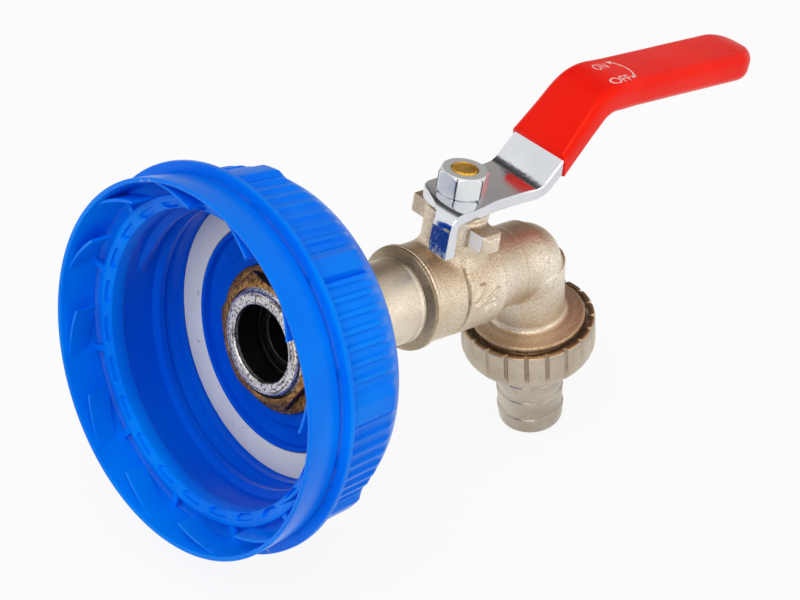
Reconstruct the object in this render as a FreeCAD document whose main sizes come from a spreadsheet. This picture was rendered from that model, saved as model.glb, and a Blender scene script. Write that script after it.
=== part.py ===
import FreeCAD, Part
import os
import re

import Sketcher

# Tap cap for a jerrycan: a screw cap with a tamper ring, a ball tap through its roof and a hose tail.
# The origin is the centre of the cap's threaded mouth. +X runs along the tap, away from the jerrycan,
# and +Z runs up the tap's stem. Lengths are in millimetres and angles in degrees.

os.makedirs("parts", exist_ok=True)
Vector = FreeCAD.Vector
ALONG_X = Vector(1, 0, 0)
doc = FreeCAD.newDocument("tap_cap")

# Driving sizes
SIZES = {
    # How far a cutting form reaches past the face that it opens.
    "past_face": 1.0,
    # Hexagons: the corner bevel as a share of the flats, and how far out it starts.
    "hex_bevel": 0.045,
    "hex_face": 0.1,
    # Screw cap: the thread's root from the tap's axis, walls outwards and inwards from it, depths from
    # the mouth.
    "thread_root_rad": 35.2,
    "thread_depth": 15.4,
    "relief_step": 1.2,
    "lip_wall": 3.4,
    "skirt_wall": 6.0,
    "flange_reach": 4.4,
    "flange_front": 2.2,
    "flange_thick": 1.5,
    "rib_height": 0.9,
    "rib_width": 1.5,
    "rib_count": 72,
    "lug_height": 2.2,
    "lug_width": 5.4,
    "lug_count": 8,
    "lug_first_angle": 35,
    "shoulder_rad": 6.0,
    "rib_end_slope": 1.6,
    "rib_end_foot": 0.4,
    "rib_root": 0.6,
    "roof_inside": 23.0,
    "roof_thick": 3.0,
    "boss_groove": 4.9,
    "boss_height": 1.4,
    "pocket_count": 24,
    "pocket_length": 5.6,
    "pocket_width": 1.7,
    "pocket_land": 1.3,
    "pocket_depth": 1.2,
    # Gasket between the retaining ring on the roof and the relief.
    "gasket_width": 6.5,
    "gasket_thick": 1.8,
    "gasket_play": 0.3,
    "retainer_wall": 1.0,
    "retainer_proud": 0.4,
    # Tamper ring in front of the mouth.
    "ring_front": 8.0,
    "ring_back": 1.4,
    "ring_gap": 3.3,
    "ring_wall": 1.2,
    "ring_lean": 1.05,
    "flap_count": 12,
    "flap_angle": 17,
    "flap_first_angle": 22,
    "flap_root": 6.4,
    "flap_reach": 0.2,
    "flap_tip_gap": 0.9,
    "flap_thick": 1.0,
    "flap_overlap": 0.2,
    "bridge_width": 1.6,
    "bridge_thick": 1.0,
    "bridge_start": 0.2,
    "bridge_gap": 0.02,
    "bridge_overlap": 0.4,
    "bridge_first_angle": 6,
    # Reducing bush, backnut and washer through the roof.
    "bush_thread_rad": 13.15,
    "bush_end": 16.05,
    "bush_end_chamfer": 0.95,
    "bush_bore_rad": 9.3,
    "bush_socket_start": 22.0,
    "bush_hex_flats": 30.0,
    "bush_hex_thick": 8.0,
    "roof_hole_play": 0.25,
    "washer_thick": 2.0,
    "washer_rad": 18.2,
    "backnut_flange_rad": 17.7,
    "backnut_flange_thick": 1.7,
    "backnut_flats": 29.0,
    "backnut_hex_thick": 2.8,
    "backnut_bevel": 0.5,
    "backnut_edge": 0.4,
    "thread_play": 0.05,
    "thread_chamfer": 0.8,
    # Inlet piece of the tap.
    "inlet_thread_rad": 10.43,
    "inlet_start": 24.0,
    "inlet_bore_rad": 6.5,
    "collar_front": 58.3,
    "collar_thick": 1.6,
    "collar_rad": 13.1,
    "collar_chamfer": 0.4,
    "nose_rad": 10.3,
    "seal_thick": 0.5,
    "seal_wall": 1.7,
    # Valve body.
    "stem_place": 74.0,
    "ball_rad": 8.8,
    "port_rad": 5.8,
    "chamber_play": 0.25,
    "chamber_half": 10.0,
    "seat_thick": 4.6,
    "seat_play": 0.05,
    "body_rad": 12.2,
    "body_neck_rad": 12.0,
    "body_ridge_place": 5.0,
    "ridge_depth": 0.35,
    "body_end": 9.2,
    "body_end_rad": 11.0,
    "elbow_taper": 6.5,
    "elbow_rad": 9.3,
    "elbow_bend_rad": 9.6,
    "outlet_place": 102.1,
    "outlet_slant": 15.6,
    "spigot_collar_top": 17.7,
    "spigot_collar_rad": 14.4,
    "spigot_collar_thick": 1.5,
    "spigot_rad": 13.2,
    "spigot_end": 24.2,
    "spigot_bore_rad": 8.6,
    "spigot_bore_depth": 6.0,
    # Stem boss with its two stop lugs.
    "boss_outer_rad": 7.6,
    "boss_top": 21.8,
    "lug_plate_low": 14.0,
    "lug_plate_thick": 5.0,
    "stop_reach": 13.8,
    "stop_right": 4.3,
    "near_stop_left": 5.8,
    "far_stop_left": 2.8,
    "stop_chamfer": 1.8,
    # Stem and its seals.
    "stem_rad": 4.2,
    "stem_play": 0.05,
    "stem_shoulder_rad": 5.4,
    "stem_shoulder_low": 9.4,
    "stem_shoulder_thick": 1.4,
    "thrust_thick": 0.6,
    "tang_thick": 3.4,
    "tang_depth": 2.4,
    "tang_play": 0.08,
    "tang_setback": 0.2,
    "tang_overlap": 0.2,
    "groove_rad": 2.9,
    "groove_play": 0.08,
    "ring_section_rad": 0.62,
    "ring_play": 0.02,
    "ring_low": 14.2,
    "ring_pitch": 3.6,
    "stem_flats": 7.0,
    "flats_short": 0.3,
    "stem_thread_rad": 3.4,
    "stem_top": 31.6,
    "stem_chamfer": 0.5,
    # Lever, measured on the middle line of its steel strip.
    "lever_thick": 3.0,
    "lever_low": 22.5,
    "lever_width": 17.4,
    "lever_waist": 15.6,
    "lever_front": 9.9,
    "tab_bottom": 13.8,
    "tab_width": 6.0,
    "tab_near_edge": 9.2,
    "tab_bend_rad": 2.6,
    "lever_bend_place": 20.0,
    "lever_rise_place": 41.0,
    "lever_rise": 19.0,
    "lever_tip_place": 94.5,
    "lever_tip_drop": 3.2,
    "lever_bend_rad": 6.0,
    "swell_start": 16.0,
    "swell_front": 22.0,
    "swell_back": 25.0,
    "swell_end": 31.0,
    "corner_cut": 5.0,
    "front_step": 1.0,
    "hole_play": 0.05,
    "sleeve_thick": 6.5,
    "sleeve_width": 18.6,
    "sleeve_start": 8.5,
    "sleeve_end": 2.1,
    "sleeve_edge": 1.6,
    "sleeve_tip_rad": 4.5,
    "nut_flats": 11.0,
    "nut_thick": 5.0,
    "label_width": 5.0,
    "label_length": 6.6,
    "label_top": 20.8,
    "label_thick": 0.12,
    # Union nut, hose tail and washer, measured down the outlet's axis.
    "union_top": 18.9,
    "union_rad": 16.6,
    "union_foot_rad": 14.2,
    "union_foot": 3.2,
    "union_mouth_depth": 1.8,
    "union_mouth_play": 0.5,
    "union_lip": 1.4,
    "union_grip_count": 20,
    "union_grip_width": 1.2,
    "union_grip_depth": 0.5,
    "tail_washer_thick": 1.1,
    "tail_washer_play": 0.05,
    "tail_flange_rad": 12.6,
    "tail_flange_thick": 1.6,
    "tail_rad": 8.3,
    "tail_hole_play": 0.35,
    "tail_bore_rad": 5.6,
    "barb_rad": 8.5,
    "barb_waist_rad": 7.7,
    "barb_land": 0.6,
    "barb_first": 36.5,
    "barb_pitch": 5.5,
    "barb_count": 3,
    "clip_land": 2.5,
    "clip_land_rad": 8.55,
    "tail_end": 52.0,
    "tail_end_rad": 7.3,
}

sheet = doc.addObject("Spreadsheet::Sheet", "Sizes")
for row, (alias, value) in enumerate(SIZES.items(), start=1):
    sheet.set(f"A{row}", alias)
    sheet.set(f"B{row}", str(value))
    sheet.setAlias(f"B{row}", alias)
doc.recompute()


# Shared steps
NEAR = 0.01


def bound(text):
    """The same expression, read from another object: each alias gets the sheet's name."""
    return re.sub("[a-z_]+", lambda word: ("Sizes." if word[0] in SIZES else "") + word[0], text)


def value(text):
    """What an expression comes to now."""
    return float(sheet.evalExpression(text))


def origin_feature(body, role):
    return next(item for item in body.Origin.OriginFeatures if item.Role == role)


def outline(body, name, plane, corners):
    """A closed sketch whose corners are pairs of expressions."""
    sketch = body.newObject("Sketcher::SketchObject", name)
    sketch.AttachmentSupport = [(origin_feature(body, plane), "")]
    sketch.MapMode = "FlatFace"
    points = [Vector(value(across), value(up), 0) for across, up in corners]
    for index, point in enumerate(points):
        sketch.addGeometry(Part.LineSegment(point, points[(index + 1) % len(points)]))
    for index in range(len(points)):
        sketch.addConstraint(Sketcher.Constraint("Coincident", index, 2, (index + 1) % len(points), 1))
    for index, (across, up) in enumerate(corners):
        for kind, text, now, axis in (
            ("DistanceX", across, points[index].x, -2),
            ("DistanceY", up, points[index].y, -1),
        ):
            if text == "0":
                sketch.addConstraint(Sketcher.Constraint("PointOnObject", index, 1, axis))
                continue
            number = sketch.addConstraint(Sketcher.Constraint(kind, -1, 1, index, 1, now))
            sketch.setExpression(f"Constraints[{number}]", bound(text))
    return sketch


def new_body(name):
    body = doc.addObject("PartDesign::Body", name)
    body.Label = name
    return body


def turned(name, plane, axis, corners):
    """A body turned about one of its origin axes from one outline."""
    body = new_body(name)
    sketch = outline(body, name + "_profile", plane, corners)
    turn = body.newObject("PartDesign::Revolution", name + "_turn")
    turn.Profile = sketch
    turn.ReferenceAxis = (sketch, [axis])
    turn.Angle = 360
    doc.recompute()
    return body


def on_tap_axis(name, corners):
    """Turned about X, from corners of (depth, radius)."""
    return turned(name, "XY_Plane", "H_Axis", corners)


def on_stem_axis(name, corners):
    """Turned about the stem, from corners of (radius, height)."""
    body = turned(name, "XZ_Plane", "V_Axis", corners)
    place_at_stem(body)
    return body


def on_outlet_axis(name, corners):
    """Turned about the slanted outlet, from corners of (radius, distance down the outlet)."""
    body = turned(name, "XZ_Plane", "V_Axis", corners)
    place_at_outlet(body)
    return body


def place_at_stem(item):
    item.setExpression("Placement.Base.x", bound("stem_place"))


def place_at_outlet(item):
    item.Placement = FreeCAD.Placement(Vector(), FreeCAD.Rotation(Vector(0, 1, 0), 90))
    item.setExpression("Placement.Base.x", bound("outlet_place"))
    item.setExpression("Placement.Rotation.Angle", bound("180 - outlet_slant"))


def pad(body, name, plane, corners, length, both_ways=True, angle=None, height=None):
    """A straight pad of an outline, on its origin plane or turned about X or raised along the normal."""
    feature = body.newObject("PartDesign::Pad", name)
    feature.Profile = outline(body, name + "_profile", plane, corners)
    feature.setExpression("Length", bound(length))
    feature.Midplane = both_ways
    if angle is not None:
        feature.Profile[0].AttachmentOffset = FreeCAD.Placement(Vector(), FreeCAD.Rotation(ALONG_X, 1))
        feature.Profile[0].setExpression("AttachmentOffset.Rotation.Angle", bound(angle))
    if height is not None:
        feature.Profile[0].setExpression("AttachmentOffset.Base.z", bound(height))
    doc.recompute()
    return feature


def pocket(body, name, plane, corners, length, both_ways=False, backwards=False):
    """A straight cut of an outline, which has to take material away."""
    before = body.Shape.Volume
    feature = body.newObject("PartDesign::Pocket", name)
    feature.Profile = outline(body, name + "_profile", plane, corners)
    feature.setExpression("Length", bound(length))
    feature.Midplane = both_ways
    feature.Reversed = backwards
    doc.recompute()
    if body.Shape.Volume >= before:
        raise ValueError(name + " cuts nothing")
    return feature


def repeat(body, name, features, axis, count):
    """Copies of the features round one of the body's origin axes."""
    pattern = body.newObject("PartDesign::PolarPattern", name)
    pattern.Originals = features
    pattern.Axis = (origin_feature(body, axis), [""])
    pattern.Angle = 360
    pattern.setExpression("Occurrences", bound(count))
    body.Tip = pattern
    doc.recompute()
    return pattern


def cylinder(name, radius, height, base=("0", "0", "0"), along=None):
    """A round bar from an expression for each size, along Z or turned to another direction."""
    bar = doc.addObject("Part::Cylinder", name)
    bar.setExpression("Radius", bound(radius))
    bar.setExpression("Height", bound(height))
    if along is not None:
        bar.Placement = FreeCAD.Placement(Vector(), FreeCAD.Rotation(Vector(0, 0, 1), along))
    for letter, text in zip("xyz", base):
        bar.setExpression("Placement.Base." + letter, bound(text))
    return bar


def hexagon(name, flats, height, base, turn):
    """A hexagon bar with chamfered corners, along X for the tap's axis or along Z for the stem."""
    bar = doc.addObject("Part::Prism", name + "_bar")
    bar.Polygon = 6
    bar.setExpression("Circumradius", bound(f"{flats} / sqrt(3)"))
    bar.setExpression("Height", bound(height))
    face = f"{flats} / 2 + hex_face"
    corner = f"{flats} / sqrt(3)"
    bevel = f"({flats} * hex_bevel)"
    profile = [
        (base, "0"),
        (base, face),
        (f"{base} + {bevel}", corner),
        (f"{base} + {height} - {bevel}", corner),
        (f"{base} + {height}", face),
        (f"{base} + {height}", "0"),
    ]
    if turn is on_tap_axis:
        bar.Placement = FreeCAD.Placement(Vector(), FreeCAD.Rotation(Vector(0, 0, 1), ALONG_X))
        bar.setExpression("Placement.Base.x", bound(base))
    else:
        profile = [(radius, place) for place, radius in reversed(profile)]
        bar.setExpression("Placement.Base.z", bound(base))
        place_at_stem(bar)
    return shared(name, [bar, turn(name + "_turning", profile)])


def joined(name, items):
    result = doc.addObject("Part::MultiFuse", name)
    result.Shapes = items
    return result


def cut(name, base, tool):
    result = doc.addObject("Part::Cut", name)
    result.Base = base
    result.Tool = tool
    doc.recompute()
    if result.Shape.Volume >= base.Shape.Volume:
        raise ValueError(name + " cuts nothing")
    return result


def shared(name, items):
    result = doc.addObject("Part::MultiCommon", name)
    result.Shapes = items
    return result


def rounded(body, name, radius, chosen):
    """A fillet on the body's edges that a test picks."""
    base = body.Tip
    edges = [f"Edge{number}" for number, edge in enumerate(base.Shape.Edges, start=1) if chosen(edge)]
    if not edges:
        raise ValueError(name + " finds no edge")
    feature = body.newObject("PartDesign::Fillet", name)
    feature.Base = (base, edges)
    feature.setExpression("Radius", bound(radius))
    body.Tip = feature
    doc.recompute()
    return feature


def is_ring(edge, radius, depth):
    """Whether an edge is the full circle of that radius at that depth along the tap's axis."""
    curve = edge.Curve
    if not isinstance(curve, Part.Circle):
        return False
    return abs(curve.Radius - value(radius)) < NEAR and abs(curve.Center.x - value(depth)) < NEAR


PIECES = []


def piece(label, item):
    """Marks an object as one of the sub-parts."""
    item.Label = label
    PIECES.append(item)
    return item


# Radii of the cap and its ring, each from the thread's root and a wall or a gap
LIP_RAD = "(thread_root_rad + lip_wall)"
SKIRT_RAD = "(thread_root_rad + skirt_wall)"
FLANGE_RAD = f"({SKIRT_RAD} + flange_reach)"
RELIEF_RAD = "(thread_root_rad - relief_step)"
GASKET_OUTER = f"({RELIEF_RAD} - gasket_play)"
GASKET_INNER = f"({GASKET_OUTER} - gasket_width)"
RETAINER_OUTER = f"({GASKET_INNER} - gasket_play)"
RETAINER_INNER = f"({RETAINER_OUTER} - retainer_wall)"
BOSS_RAD = f"({RETAINER_INNER} - boss_groove)"
RING_BACK_INNER = f"({LIP_RAD} + ring_gap)"
RING_INNER = f"({RING_BACK_INNER} + ring_lean)"
FLAP_TIP_RAD = f"({LIP_RAD} - flap_reach)"

# Places along the tap's axis that several pieces share
FLANGE_BACK = "(flange_front + flange_thick)"
ROOF_BACK = "(roof_inside + roof_thick)"
BOSS_FACE = "(roof_inside - boss_height)"
GASKET_FACE = "(roof_inside - gasket_thick)"
HOLE_RAD = "(bush_thread_rad + roof_hole_play)"
HEX_FRONT = f"({ROOF_BACK} + washer_thick)"
HEX_BACK = f"({HEX_FRONT} + bush_hex_thick)"
COLLAR_BACK = "(collar_front + collar_thick)"
BODY_FRONT = f"({COLLAR_BACK} + seal_thick)"
CHAMBER_FRONT = "(stem_place - chamber_half)"
CHAMBER_BACK = "(stem_place + chamber_half)"
CHAMBER_RAD = "(ball_rad + chamber_play)"
BODY_BACK = "(stem_place + body_end)"

# Screw cap: one turned form, then its ribs, lugs and the pockets round the mouth.
cap = on_tap_axis(
    "cap_shell",
    [
        ("0", "thread_root_rad"),
        ("0", LIP_RAD),
        ("flange_front", LIP_RAD),
        ("flange_front", FLANGE_RAD),
        (FLANGE_BACK, FLANGE_RAD),
        (FLANGE_BACK, SKIRT_RAD),
        (ROOF_BACK, SKIRT_RAD),
        (ROOF_BACK, HOLE_RAD),
        (BOSS_FACE, HOLE_RAD),
        (BOSS_FACE, BOSS_RAD),
        ("roof_inside", BOSS_RAD),
        ("roof_inside", RETAINER_INNER),
        (f"{GASKET_FACE} - retainer_proud", RETAINER_INNER),
        (f"{GASKET_FACE} - retainer_proud", RETAINER_OUTER),
        ("roof_inside", RETAINER_OUTER),
        ("roof_inside", RELIEF_RAD),
        ("thread_depth", RELIEF_RAD),
        ("thread_depth", "thread_root_rad"),
    ],
)
rounded(cap, "cap_shoulder", "shoulder_rad", lambda edge: is_ring(edge, SKIRT_RAD, ROOF_BACK))
BURIED = f"({SKIRT_RAD} - rib_root)"
SHOULDER = f"({ROOF_BACK} - shoulder_rad)"


def grip_bar(name, height, width, angle):
    """One bar along the skirt, whose back end slopes into the shoulder."""
    crest = f"{SKIRT_RAD} + {height}"
    corners = [
        (FLANGE_BACK, BURIED),
        (FLANGE_BACK, crest),
        (f"{SHOULDER} - rib_end_slope", crest),
        (f"{SHOULDER} + {height} - rib_end_foot", BURIED),
    ]
    return pad(cap, name, "XY_Plane", corners, width, angle=angle)


rib = grip_bar("cap_rib", "rib_height", "rib_width", "lug_first_angle")
repeat(cap, "cap_ribs", [rib], "X_Axis", "rib_count")
lug = grip_bar("cap_lug", "lug_height", "lug_width", "lug_first_angle")
repeat(cap, "cap_lugs", [lug], "X_Axis", "lug_count")
POCKET_OUT = f"({LIP_RAD} - pocket_land)"
mouth_pocket = pocket(
    cap,
    "cap_pocket",
    "YZ_Plane",
    [
        (POCKET_OUT, "-pocket_length / 2"),
        (POCKET_OUT, "pocket_length / 2"),
        (f"{POCKET_OUT} - pocket_width / 2", "pocket_length / 2"),
        (f"{POCKET_OUT} - pocket_width", "pocket_length / 2 - pocket_width"),
        (f"{POCKET_OUT} - pocket_width", "-pocket_length / 2 + pocket_width"),
        (f"{POCKET_OUT} - pocket_width / 2", "-pocket_length / 2"),
    ],
    "pocket_depth",
    backwards=True,
)
repeat(cap, "cap_pockets", [mouth_pocket], "X_Axis", "pocket_count")
piece("cap_shell", cap)

piece(
    "neck_gasket",
    on_tap_axis(
        "neck_gasket",
        [
            (GASKET_FACE, GASKET_INNER),
            (GASKET_FACE, GASKET_OUTER),
            ("roof_inside", GASKET_OUTER),
            ("roof_inside", GASKET_INNER),
        ],
    ),
)

# Tamper ring: a leaning wall, twelve flaps folded in from its front and the bridges to the mouth's lip.
ring = on_tap_axis(
    "tamper_ring",
    [
        ("-ring_front", RING_INNER),
        ("-ring_front", f"{RING_INNER} + ring_wall"),
        ("ring_back", f"{RING_BACK_INNER} + ring_wall"),
        ("ring_back", RING_BACK_INNER),
    ],
)
flap = ring.newObject("PartDesign::Revolution", "ring_flap")
flap.Profile = outline(
    ring,
    "ring_flap_profile",
    "XY_Plane",
    [
        ("-flap_root", f"{RING_INNER} + flap_overlap"),
        ("-flap_tip_gap", FLAP_TIP_RAD),
        ("-flap_tip_gap", f"{FLAP_TIP_RAD} + flap_thick"),
        ("-flap_root + flap_thick", f"{RING_INNER} + flap_overlap"),
    ],
)
flap.Profile[0].AttachmentOffset = FreeCAD.Placement(Vector(), FreeCAD.Rotation(ALONG_X, 1))
flap.Profile[0].setExpression("AttachmentOffset.Rotation.Angle", bound("flap_first_angle - flap_angle"))
flap.ReferenceAxis = (flap.Profile[0], ["H_Axis"])
flap.setExpression("Angle", bound("flap_angle"))
doc.recompute()
repeat(ring, "ring_flaps", [flap], "X_Axis", "flap_count")
bridge = pad(
    ring,
    "ring_bridge",
    "XY_Plane",
    [
        ("bridge_start", f"{LIP_RAD} + bridge_gap"),
        ("bridge_start + bridge_thick", f"{LIP_RAD} + bridge_gap"),
        ("bridge_start + bridge_thick", f"{RING_BACK_INNER} + bridge_overlap"),
        ("bridge_start", f"{RING_BACK_INNER} + bridge_overlap"),
    ],
    "bridge_width",
    angle="bridge_first_angle",
)
repeat(ring, "ring_bridges", [bridge], "X_Axis", "flap_count")
piece("tamper_ring", ring)

# Reducing bush through the roof, its washer behind the roof and its backnut inside the cap.
bush_shank = on_tap_axis(
    "bush_shank",
    [
        ("bush_end", "0"),
        ("bush_end", "bush_thread_rad - bush_end_chamfer"),
        ("bush_end + bush_end_chamfer", "bush_thread_rad"),
        (f"{HEX_FRONT} + past_face", "bush_thread_rad"),
        (f"{HEX_FRONT} + past_face", "0"),
    ],
)
bush_hex = hexagon("bush_hex", "bush_hex_flats", "bush_hex_thick", HEX_FRONT, on_tap_axis)
bush_bore = on_tap_axis(
    "bush_bore",
    [
        ("bush_end - past_face", "0"),
        ("bush_end - past_face", "bush_bore_rad"),
        ("bush_socket_start", "bush_bore_rad"),
        ("bush_socket_start", "inlet_thread_rad + thread_play"),
        (f"{HEX_BACK} + past_face", "inlet_thread_rad + thread_play"),
        (f"{HEX_BACK} + past_face", "0"),
    ],
)
piece("reducing_bush", cut("reducing_bush", joined("bush_blank", [bush_shank, bush_hex]), bush_bore))
piece(
    "roof_washer",
    on_tap_axis(
        "roof_washer",
        [
            (ROOF_BACK, HOLE_RAD),
            (ROOF_BACK, "washer_rad"),
            (HEX_FRONT, "washer_rad"),
            (HEX_FRONT, HOLE_RAD),
        ],
    ),
)
BACKNUT_STEP = f"({BOSS_FACE} - backnut_flange_thick)"
BACKNUT_END = f"({BACKNUT_STEP} - backnut_hex_thick)"
backnut_flange = on_tap_axis(
    "backnut_flange",
    [
        (f"{BACKNUT_STEP} - backnut_bevel", "0"),
        (f"{BACKNUT_STEP} - backnut_bevel", "backnut_flats / 2"),
        (BACKNUT_STEP, "backnut_flange_rad - backnut_edge"),
        (f"{BACKNUT_STEP} + backnut_edge", "backnut_flange_rad"),
        (BOSS_FACE, "backnut_flange_rad"),
        (BOSS_FACE, "0"),
    ],
)
BACKNUT_HEX = "(backnut_hex_thick + backnut_bevel)"
backnut_hex = hexagon("backnut_hex", "backnut_flats", BACKNUT_HEX, BACKNUT_END, on_tap_axis)
backnut_bore = cylinder(
    "backnut_bore",
    "bush_thread_rad + thread_play",
    "backnut_hex_thick + backnut_flange_thick + 2 * past_face",
    (f"{BACKNUT_END} - past_face", "0", "0"),
    ALONG_X,
)
backnut_blank = joined("backnut_blank", [backnut_flange, backnut_hex])
piece("bush_backnut", cut("bush_backnut", backnut_blank, backnut_bore))

# Inlet piece: threaded spigot, neck, turned collar and the nose that holds the first seat.
piece(
    "inlet_piece",
    on_tap_axis(
        "inlet_piece",
        [
            ("inlet_start", "inlet_bore_rad"),
            ("inlet_start", "inlet_thread_rad - thread_chamfer"),
            ("inlet_start + thread_chamfer", "inlet_thread_rad"),
            ("collar_front", "inlet_thread_rad"),
            ("collar_front", "collar_rad - collar_chamfer"),
            ("collar_front + collar_chamfer", "collar_rad"),
            (COLLAR_BACK, "collar_rad"),
            (COLLAR_BACK, "nose_rad"),
            (CHAMBER_FRONT, "nose_rad"),
            (CHAMBER_FRONT, "inlet_bore_rad"),
        ],
    ),
)
NOSE_SOCKET_RAD = "(nose_rad + thread_play)"
piece(
    "body_seal",
    on_tap_axis(
        "body_seal",
        [
            (COLLAR_BACK, NOSE_SOCKET_RAD),
            (COLLAR_BACK, f"{NOSE_SOCKET_RAD} + seal_wall"),
            (BODY_FRONT, f"{NOSE_SOCKET_RAD} + seal_wall"),
            (BODY_FRONT, NOSE_SOCKET_RAD),
        ],
    ),
)

# Valve body, outside: the turned chamber, the elbow, the outlet's collar and spigot, the boss and lugs.
RIDGE_FRONT = "(stem_place - body_ridge_place)"
chamber_form = on_tap_axis(
    "chamber_form",
    [
        (BODY_FRONT, "0"),
        (BODY_FRONT, "body_rad"),
        (f"{RIDGE_FRONT} - ridge_depth", "body_neck_rad"),
        (RIDGE_FRONT, "body_neck_rad - ridge_depth"),
        (f"{RIDGE_FRONT} + ridge_depth", "body_rad"),
        (f"{BODY_BACK} - ridge_depth", "body_rad"),
        (BODY_BACK, "body_rad - ridge_depth"),
        (f"{BODY_BACK} + ridge_depth", "body_end_rad"),
        (f"{BODY_BACK} + elbow_taper", "elbow_rad"),
        (f"{BODY_BACK} + elbow_taper", "0"),
    ],
)
TURN_ANGLE = "(90 - outlet_slant)"
TURN_LENGTH = f"(elbow_bend_rad * tan({TURN_ANGLE} / 2))"
BEND_START = f"(outlet_place - {TURN_LENGTH})"


def elbow(name, radius):
    """A round bar from the chamber along the tap and through the bend."""
    level_end = f"{BEND_START} - stem_place"
    level = cylinder(name + "_level", radius, level_end, ("stem_place", "0", "0"), ALONG_X)
    bend = doc.addObject("Part::Torus", name + "_bend")
    bend.setExpression("Radius1", bound("elbow_bend_rad"))
    bend.setExpression("Radius2", bound(radius))
    bend.setExpression("Angle3", bound(TURN_ANGLE))
    turn = FreeCAD.Rotation(Vector(0, 0, 1), ALONG_X, Vector(0, 1, 0), "XYZ")
    bend.Placement = FreeCAD.Placement(Vector(), turn)
    bend.setExpression("Placement.Base.x", bound(BEND_START))
    bend.setExpression("Placement.Base.z", bound("-elbow_bend_rad"))
    return [level, bend]


outlet_form = on_outlet_axis(
    "outlet_form",
    [
        ("0", TURN_LENGTH),
        ("elbow_rad", TURN_LENGTH),
        ("elbow_rad", "spigot_collar_top"),
        ("spigot_collar_rad", "spigot_collar_top"),
        ("spigot_collar_rad", "spigot_collar_top + spigot_collar_thick"),
        ("spigot_rad", "spigot_collar_top + spigot_collar_thick"),
        ("spigot_rad", "spigot_end - thread_chamfer"),
        ("spigot_rad - thread_chamfer", "spigot_end"),
        ("0", "spigot_end"),
    ],
)
BOSS_LENGTH = f"boss_top - {CHAMBER_RAD}"
boss_form = cylinder("boss_form", "boss_outer_rad", BOSS_LENGTH, ("stem_place", "0", CHAMBER_RAD))
lug_form = new_body("lug_form")
pad(
    lug_form,
    "lug_pad",
    "XY_Plane",
    [
        ("-near_stop_left", "-stop_reach + stop_chamfer"),
        ("-near_stop_left + stop_chamfer", "-stop_reach"),
        ("stop_right - stop_chamfer", "-stop_reach"),
        ("stop_right", "-stop_reach + stop_chamfer"),
        ("stop_right", "stop_reach - stop_chamfer"),
        ("stop_right - stop_chamfer", "stop_reach"),
        ("-far_stop_left + stop_chamfer", "stop_reach"),
        ("-far_stop_left", "stop_reach - stop_chamfer"),
        ("-far_stop_left", "0"),
        ("-near_stop_left", "0"),
    ],
    "lug_plate_thick",
    both_ways=False,
    height="lug_plate_low",
)
place_at_stem(lug_form)

# Valve body, inside: the nose's socket, the chamber, the port, the outlet's bore and the stem's bore.
chamber_bore = on_tap_axis(
    "chamber_bore",
    [
        (f"{BODY_FRONT} - past_face", "0"),
        (f"{BODY_FRONT} - past_face", NOSE_SOCKET_RAD),
        (CHAMBER_FRONT, NOSE_SOCKET_RAD),
        (CHAMBER_FRONT, CHAMBER_RAD),
        (CHAMBER_BACK, CHAMBER_RAD),
        (CHAMBER_BACK, "0"),
    ],
)
outlet_bore = on_outlet_axis(
    "outlet_bore",
    [
        ("0", TURN_LENGTH),
        ("port_rad", TURN_LENGTH),
        ("port_rad", "spigot_end - spigot_bore_depth"),
        ("spigot_bore_rad", "spigot_end - spigot_bore_depth"),
        ("spigot_bore_rad", "spigot_end + past_face"),
        ("0", "spigot_end + past_face"),
    ],
)
SHOULDER_TOP = "(stem_shoulder_low + stem_shoulder_thick)"
stem_bore = on_stem_axis(
    "stem_bore",
    [
        ("0", "port_rad"),
        ("stem_shoulder_rad + stem_play", "port_rad"),
        ("stem_shoulder_rad + stem_play", f"{SHOULDER_TOP} + thrust_thick + stem_play"),
        ("stem_rad + stem_play", f"{SHOULDER_TOP} + thrust_thick + stem_play"),
        ("stem_rad + stem_play", "boss_top + past_face"),
        ("0", "boss_top + past_face"),
    ],
)
outer_forms = [chamber_form, *elbow("elbow_form", "elbow_rad"), outlet_form, boss_form, lug_form]
body_blank = joined("body_blank", outer_forms)
body_bores = joined("body_bores", [chamber_bore, *elbow("elbow_bore", "port_rad"), outlet_bore, stem_bore])
piece("valve_body", cut("valve_body", body_blank, body_bores))


def seat(name, face, mouth):
    """A seat ring from its flat face towards the ball, hollowed to the ball's round."""
    blank = on_tap_axis(
        name + "_blank",
        [
            (face, "port_rad"),
            (face, f"{CHAMBER_RAD} - seat_play"),
            (mouth, f"{CHAMBER_RAD} - seat_play"),
            (mouth, "port_rad"),
        ],
    )
    hollow = doc.addObject("Part::Sphere", name + "_hollow")
    hollow.setExpression("Radius", bound("ball_rad + seat_play"))
    place_at_stem(hollow)
    return piece(name, cut(name, blank, hollow))


seat("seat_inlet", CHAMBER_FRONT, f"{CHAMBER_FRONT} + seat_thick")
seat("seat_outlet", CHAMBER_BACK, f"{CHAMBER_BACK} - seat_thick")

# Ball with its port and the slot that the stem's tang turns.
ball_blank = doc.addObject("Part::Sphere", "ball_blank")
ball_blank.setExpression("Radius", bound("ball_rad"))
place_at_stem(ball_blank)
PORT_START = ("stem_place - 2 * ball_rad", "0", "0")
ball_port = cylinder("ball_port", "port_rad", "4 * ball_rad", PORT_START, ALONG_X)


def block(name, length, width, height, base):
    """A plain block from expressions."""
    box = doc.addObject("Part::Box", name)
    for side, text in (("Length", length), ("Width", width), ("Height", height)):
        box.setExpression(side, bound(text))
    for letter, text in zip("xyz", base):
        box.setExpression("Placement.Base." + letter, bound(text))
    return box


ball_slot = block(
    "ball_slot",
    "tang_thick + 2 * tang_play",
    "4 * ball_rad",
    "tang_depth + past_face",
    ("stem_place - tang_thick / 2 - tang_play", "-2 * ball_rad", "ball_rad - tang_depth"),
)
piece("ball", cut("ball", ball_blank, joined("ball_cuts", [ball_port, ball_slot])))

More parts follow.
